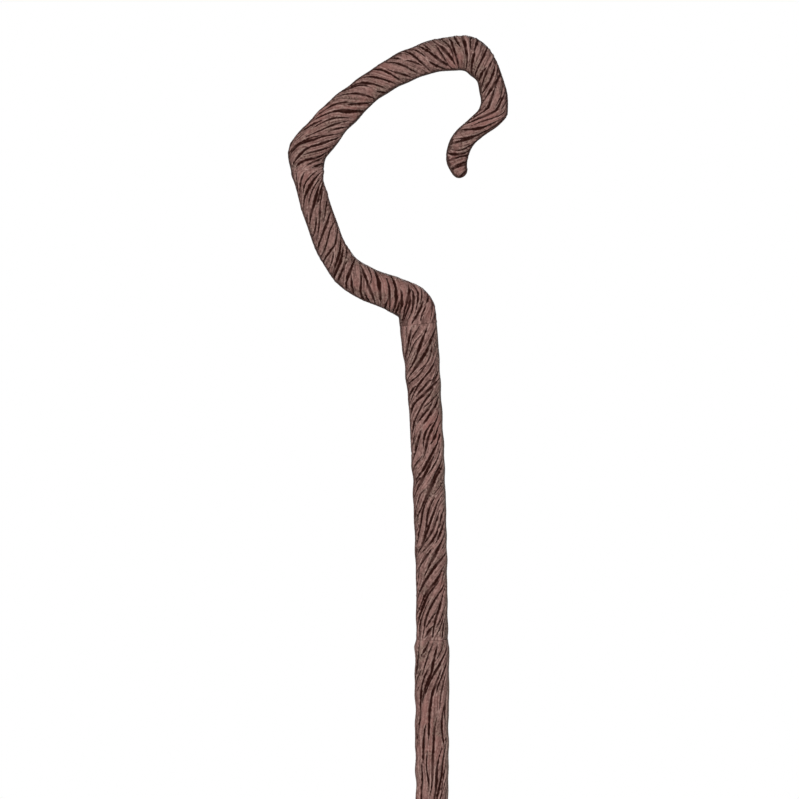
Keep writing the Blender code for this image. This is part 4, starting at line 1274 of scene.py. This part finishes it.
def bark_finish(colours):
    """Moulded bark: fibrous, stippled tops, a calmer strip beside the seam, and dark wash in grooves.

    The tops go from shade to ridge with a weighted sum of the carved fields and two noises. The other
    colours are laid over them in turn, each by its mask and its share. Three of these are painted light:
    a pale sheen on the strip beside the inner seam, a highlight along the rims of the grooves and shade
    along both seams.
    """
    bench = Bench(bpy.data.materials.new("bark_grain"))
    groove, line, relief = bench.field("groove"), bench.field("line"), bench.field("relief")
    fibre, strand, ply = bench.field("fibre"), bench.field("strand"), bench.field("ply")
    land, seam = bench.field("land"), bench.field("seam")
    stipple, mottle = bench.noise(*STIPPLE), bench.noise(*MOTTLE)
    speckle, blotch = stipple - NOISE_MIDDLE, mottle - NOISE_MIDDLE
    patch = bench.ease(bench.noise(*PATCHES), 0.48, 0.66)
    drift = bench.ease(bench.noise(*DRIFTS), 0.50, 0.68)
    tint = fibre * 0.15 + strand * 0.40 + ply * 0.30 + speckle * 1.2 + blotch * 1.6
    pale = bench.ease(tint, -0.55, 0.45)
    streak = bench.ease(strand + blotch * 1.5, 0.35, 0.9)
    painted_rim_highlight = bench.ease(relief, 0.0, 0.10) * bench.ease(relief, 0.36, 0.14)
    wash = bench.ease(groove, 0.12, 1.0)
    colour = bench.blend(pale, colours.shade, colours.ridge)
    for mask, share, over in (
        (drift, 0.7, colours.warm),
        (patch * bench.ease(stipple, 0.40, 0.62), 0.7, colours.olive),
        (patch * bench.ease(stipple, 0.56, 0.40), 0.55, colours.groove),
        # painted sheen: the pale grey tint of the strip beside the inner seam
        (land, 0.45 + pale * 0.25, colours.land),
        (streak, 0.4, colours.edge),
        # painted highlight along the rims of the grooves
        (painted_rim_highlight * bench.ease(mottle, 0.35, 0.6), 0.55, colours.edge),
        (bench.ease(relief, 0.25, 0.9), 0.65, colours.flank),
        (line, 0.40, colours.groove),
        # painted shade along both seams
        (seam, 0.85, colours.seam),
        (wash, 1, colours.groove),
    ):
        colour = bench.blend(mask * share, colour, over)
    return bench.finish(
        {
            "Base Color": colour,
            "Roughness": 0.60 + wash * 0.18 + speckle * 0.12,
            "Specular IOR Level": 0.03,
            "Normal": bench.bump(stipple * 0.6 + fibre * 0.4, 0.6, 0.0005),
        }
    )


def tinted(colour, share):
    """A colour made lighter or darker by a share."""
    return tuple(min(1, part * share) for part in colour)


def coupler_finish(colours):
    """Moulded plastic: a fine spark texture, slow tint, and paler rub marks along the axis."""
    bench = Bench(bpy.data.materials.new("coupler_plastic"))
    texture = bench.noise(*SPARK)
    worn = bench.ease(bench.noise(*RUB_MARKS), 0.56, 0.75)
    cloud = bench.ease(bench.noise(*PLASTIC_CLOUDS), 0.35, 0.65)
    colour = bench.blend(cloud, tinted(colours.coupler, 0.7), colours.coupler)
    colour = bench.blend(worn * 0.5, colour, tinted(colours.coupler, 1.9))
    return bench.finish(
        {
            "Base Color": colour,
            "Roughness": 0.46 + worn * 0.18,
            "Normal": bench.bump(texture, 0.25, 0.0001),
        }
    )


def foot_finish(colours):
    """Rubber: matt, mottled, with floor dust that thins out upwards."""
    bench = Bench(bpy.data.materials.new("foot_rubber"))
    grit, cloud = bench.noise(*GRIT), bench.noise(*RUBBER_CLOUDS)
    height = bench.node("ShaderNodeSeparateXYZ", None, {"Vector": bench.place()}, output="Z")
    low = bench.ease(height, FOOT_THICKNESS * 0.9, 0.0)
    dust = bench.ease(cloud * 0.6 + grit * 0.4, 0.42, 0.62) * low
    colour = bench.blend(bench.ease(grit, 0.35, 0.7), colours.foot, tinted(colours.foot, 1.6))
    colour = bench.blend(dust * 0.55, colour, colours.dust)
    return bench.finish(
        {
            "Base Color": colour,
            "Roughness": 0.78 + dust * 0.14,
            "Normal": bench.bump(grit, 0.4, 0.0002),
        }
    )


def wear(piece, body, node, material):
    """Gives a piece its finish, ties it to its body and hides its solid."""
    piece.data.materials.append(material)
    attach(piece, body)
    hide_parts(node)


def check_place(piece, node, slack):
    """Stops if a piece's box is further than the slack from its solid's box."""
    co = np.empty(len(piece.data.vertices) * 3, np.float32)
    piece.data.vertices.foreach_get("co", co)
    co = co.reshape(-1, 3)
    low, high = (np.array(corner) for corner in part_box(node))
    away = max(np.abs(co.min(0) - low).max(), np.abs(co.max(0) - high).max())
    if away > slack:
        raise RuntimeError(f"{piece.name} lies {away * 1000:.2f} mm off its solid")


def dress_section(context, section):
    """Makes the two shells of a section."""
    scene = context.scene
    material = bpy.data.materials.get("bark_grain") or bark_finish(scene.staff_colours)
    for end, side in (("front", -1), ("rear", 1)):
        piece = half_shell(section, side, scene.staff_sizes)
        node = f"{section.name}_{end}_shell"
        check_place(piece, node, SHELL_SLACK)
        wear(piece, section.name, node, material)
    return {"FINISHED"}


class STAFF_OT_hook(bpy.types.Operator):
    """Make the two carved shells of the hook"""

    bl_idname = "staff.hook"
    bl_label = "Hook"

    def execute(self, context):
        return dress_section(context, HOOK)


class STAFF_OT_bow(bpy.types.Operator):
    """Make the two carved shells of the bow"""

    bl_idname = "staff.bow"
    bl_label = "Bow"

    def execute(self, context):
        return dress_section(context, BOW)


class STAFF_OT_upper_shaft(bpy.types.Operator):
    """Make the two carved shells of the upper shaft"""

    bl_idname = "staff.upper_shaft"
    bl_label = "Upper shaft"

    def execute(self, context):
        return dress_section(context, UPPER_SHAFT)


class STAFF_OT_lower_shaft(bpy.types.Operator):
    """Make the two carved shells of the lower shaft"""

    bl_idname = "staff.lower_shaft"
    bl_label = "Lower shaft"

    def execute(self, context):
        return dress_section(context, LOWER_SHAFT)


def fitted_radius(socket):
    """The outside radius of a plug: the flats of the socket's bore less the running clearance."""
    return socket.bore * math.cos(math.pi / BORE_SIDES) - FIT_GAP


class STAFF_OT_couplers(bpy.types.Operator):
    """Make the three push-fit couplers"""

    bl_idname = "staff.couplers"
    bl_label = "Couplers"

    def execute(self, context):
        material = coupler_finish(context.scene.staff_colours)
        far, near = COUPLER_GROOVE_PLACES
        for name, below, above in (
            ("shaft_coupler", LOWER_SHAFT, UPPER_SHAFT),
            ("neck_coupler", UPPER_SHAFT, BOW),
            ("elbow_coupler", BOW, HOOK),
        ):
            outer = fitted_radius(below.upper)
            inner = outer - COUPLER_WALL
            low, high = RIM_GAP - below.upper.depth, above.lower.depth
            profile = [(inner, low), (outer - LEAD_IN, low), (outer, low + LEAD_IN)]
            for middle in (low * far, low * near, high * near, high * far):
                profile += [(outer - sunk, middle + away) for away, sunk in COUPLER_GROOVE]
            profile += [(outer, high - LEAD_IN), (outer - LEAD_IN, high), (inner, high)]
            path = below.path
            piece = turned(f"{name}_sleeve", rounded(profile, SOFT_EDGE), path.end, path.end_heading)
            check_place(piece, name, TURNED_SLACK)
            wear(piece, name, name, material)
        return {"FINISHED"}


class STAFF_OT_foot(bpy.types.Operator):
    """Make the foot plug with its tread"""

    bl_idname = "staff.foot"
    bl_label = "Foot plug"

    def execute(self, context):
        flange = FOOT_DIAMETER / 2
        outer = fitted_radius(FOOT_SOCKET)
        inner = outer - FOOT_WALL
        top = FOOT_THICKNESS + FOOT_SOCKET.depth
        profile = [(PIN_HOLE, FOOT_THICKNESS), (PIN_HOLE, TREAD_DEPTH)]
        for edge in TREAD_RINGS:
            profile += [(edge + across, TREAD_DEPTH * sunk) for across, sunk in TREAD_RING]
        profile += [(flange - FOOT_CHAMFER, 0.0), (flange, FOOT_CHAMFER), (flange, FOOT_THICKNESS)]
        profile += [(outer, FOOT_THICKNESS), (outer, top - LEAD_IN), (outer - LEAD_IN, top)]
        profile += [(inner, top), (inner, FOOT_THICKNESS)]
        piece = turned("foot_plug_tread", rounded(profile, SOFT_EDGE), (0, 0), 90)
        check_place(piece, "foot_plug", TURNED_SLACK)
        material = foot_finish(context.scene.staff_colours)
        wear(piece, "lower_shaft", "foot_plug", material)
        return {"FINISHED"}


def lamp(form, watts, aim):
    """A square soft lamp that points at a place."""
    light = bpy.data.lights.new(form.name, "AREA")
    light.shape = "SQUARE"
    light.size = form.size
    light.energy = watts
    made = placed(form.name, light)
    made.location = form.place
    back = made.location - aim
    made.rotation_euler = back.to_track_quat("Z", "Y").to_euler()


def white_surround(sky):
    """A world that is white where it is seen and gives a little light from all round."""
    world = bpy.data.worlds.new("surround")
    bench = Bench(world)
    range_ends = {"Value": bench.seen(), "To Min": sky, "To Max": 1.0}
    strength = bench.node("ShaderNodeMapRange", None, range_ends)
    light = bench.node("ShaderNodeBackground", None, {"Color": (1, 1, 1, 1), "Strength": strength})
    bench.node("ShaderNodeOutputWorld", None, {"Surface": light})
    return world


def pale_floor(radius, colour):
    """A round floor: rings of points round a closed middle, matt near the staff and fading to white."""
    angle = np.arange(FLOOR_SIDES) * 2 * math.pi / FLOOR_SIDES
    rings = np.linspace(FLOOR_MIDDLE, radius, FLOOR_RINGS)[:, None]
    level = np.full((FLOOR_RINGS, FLOOR_SIDES), FLOOR_LEVEL)
    points = np.stack((rings * np.cos(angle), rings * np.sin(angle), level), 2).reshape(-1, 3)
    index = np.arange(len(points)).reshape(FLOOR_RINGS, FLOOR_SIDES)
    on = np.roll(index, -1, 1)
    quads = np.stack((index[:-1], index[1:], on[1:], on[:-1]), 2).reshape(-1, 4)
    mesh = bpy.data.meshes.new("floor")
    mesh.from_pydata(points.tolist(), [], quads.tolist() + [index[0].tolist()])
    bench = Bench(bpy.data.materials.new("floor"))
    from_middle = {0: bench.place()}
    away = bench.node("ShaderNodeVectorMath", {"operation": "LENGTH"}, from_middle, output="Value")
    fade = bench.ease(away, *(radius * share for share in FLOOR_FADE)) * bench.seen()
    matt = bench.node("ShaderNodeBsdfDiffuse", None, {"Color": (*colour, 1)})
    white = bench.node("ShaderNodeEmission", None, {"Color": (1, 1, 1, 1), "Strength": 1.0})
    mixed = bench.node("ShaderNodeMixShader", None, {0: fade, 1: matt, 2: white})
    bench.node("ShaderNodeOutputMaterial", None, {"Surface": mixed})
    mesh.materials.append(bench.owner)
    return placed("floor", mesh)


class STAFF_OT_studio(bpy.types.Operator):
    """Make the floor, lamps, white surround and camera"""

    bl_idname = "staff.studio"
    bl_label = "Studio"

    def execute(self, context):
        scene = context.scene
        studio = scene.staff_studio
        aim = Vector((studio.aim_across, 0, studio.aim_height))
        camera = bpy.data.cameras.new("camera")
        camera.lens = camera.sensor_width * studio.camera_distance / studio.frame_width
        view = placed("camera", camera)
        view.location = (aim.x, -studio.camera_distance, aim.z)
        view.rotation_euler = (math.pi / 2, 0, 0)
        scene.camera = view
        for form in LAMPS:
            lamp(form, getattr(studio, f"{form.name}_power"), aim)
        scene.world = white_surround(studio.sky)
        pale_floor(studio.floor_radius, studio.floor)
        scene.view_settings.view_transform = "Standard"
        return {"FINISHED"}


class STAFF_PT_make(bpy.types.Panel):
    """Lists the steps that dress the staff"""

    bl_idname = "STAFF_PT_make"
    bl_label = "Crook-headed staff"
    bl_space_type = "VIEW_3D"
    bl_region_type = "UI"
    bl_category = "Staff"

    def draw(self, context):
        for step in STEPS:
            self.layout.operator(step.bl_idname)
        for group in ("staff_sizes", "staff_colours", "staff_studio"):
            settings = getattr(context.scene, group)
            box = self.layout.box()
            for name in settings.__annotations__:
                box.prop(settings, name)


STEPS = (
    STAFF_OT_hook,
    STAFF_OT_bow,
    STAFF_OT_upper_shaft,
    STAFF_OT_lower_shaft,
    STAFF_OT_couplers,
    STAFF_OT_foot,
    STAFF_OT_studio,
)
CLASSES = (StaffSizes, StaffColours, StaffStudio, *STEPS, STAFF_PT_make)


def register():
    """Makes the steps, the settings and the panel known."""
    for item in CLASSES:
        bpy.utils.register_class(item)
    bpy.types.Scene.staff_sizes = PointerProperty(type=StaffSizes)
    bpy.types.Scene.staff_colours = PointerProperty(type=StaffColours)
    bpy.types.Scene.staff_studio = PointerProperty(type=StaffStudio)


def unregister():
    """Takes the settings, the steps and the panel away again."""
    del bpy.types.Scene.staff_studio
    del bpy.types.Scene.staff_colours
    del bpy.types.Scene.staff_sizes
    for item in reversed(CLASSES):
        bpy.utils.unregister_class(item)


def main():
    """Makes every piece and the studio in order."""
    register()
    bpy.ops.staff.hook()
    bpy.ops.staff.bow()
    bpy.ops.staff.upper_shaft()
    bpy.ops.staff.lower_shaft()
    bpy.ops.staff.couplers()
    bpy.ops.staff.foot()
    bpy.ops.staff.studio()


if __name__ == "__main__":
    main()
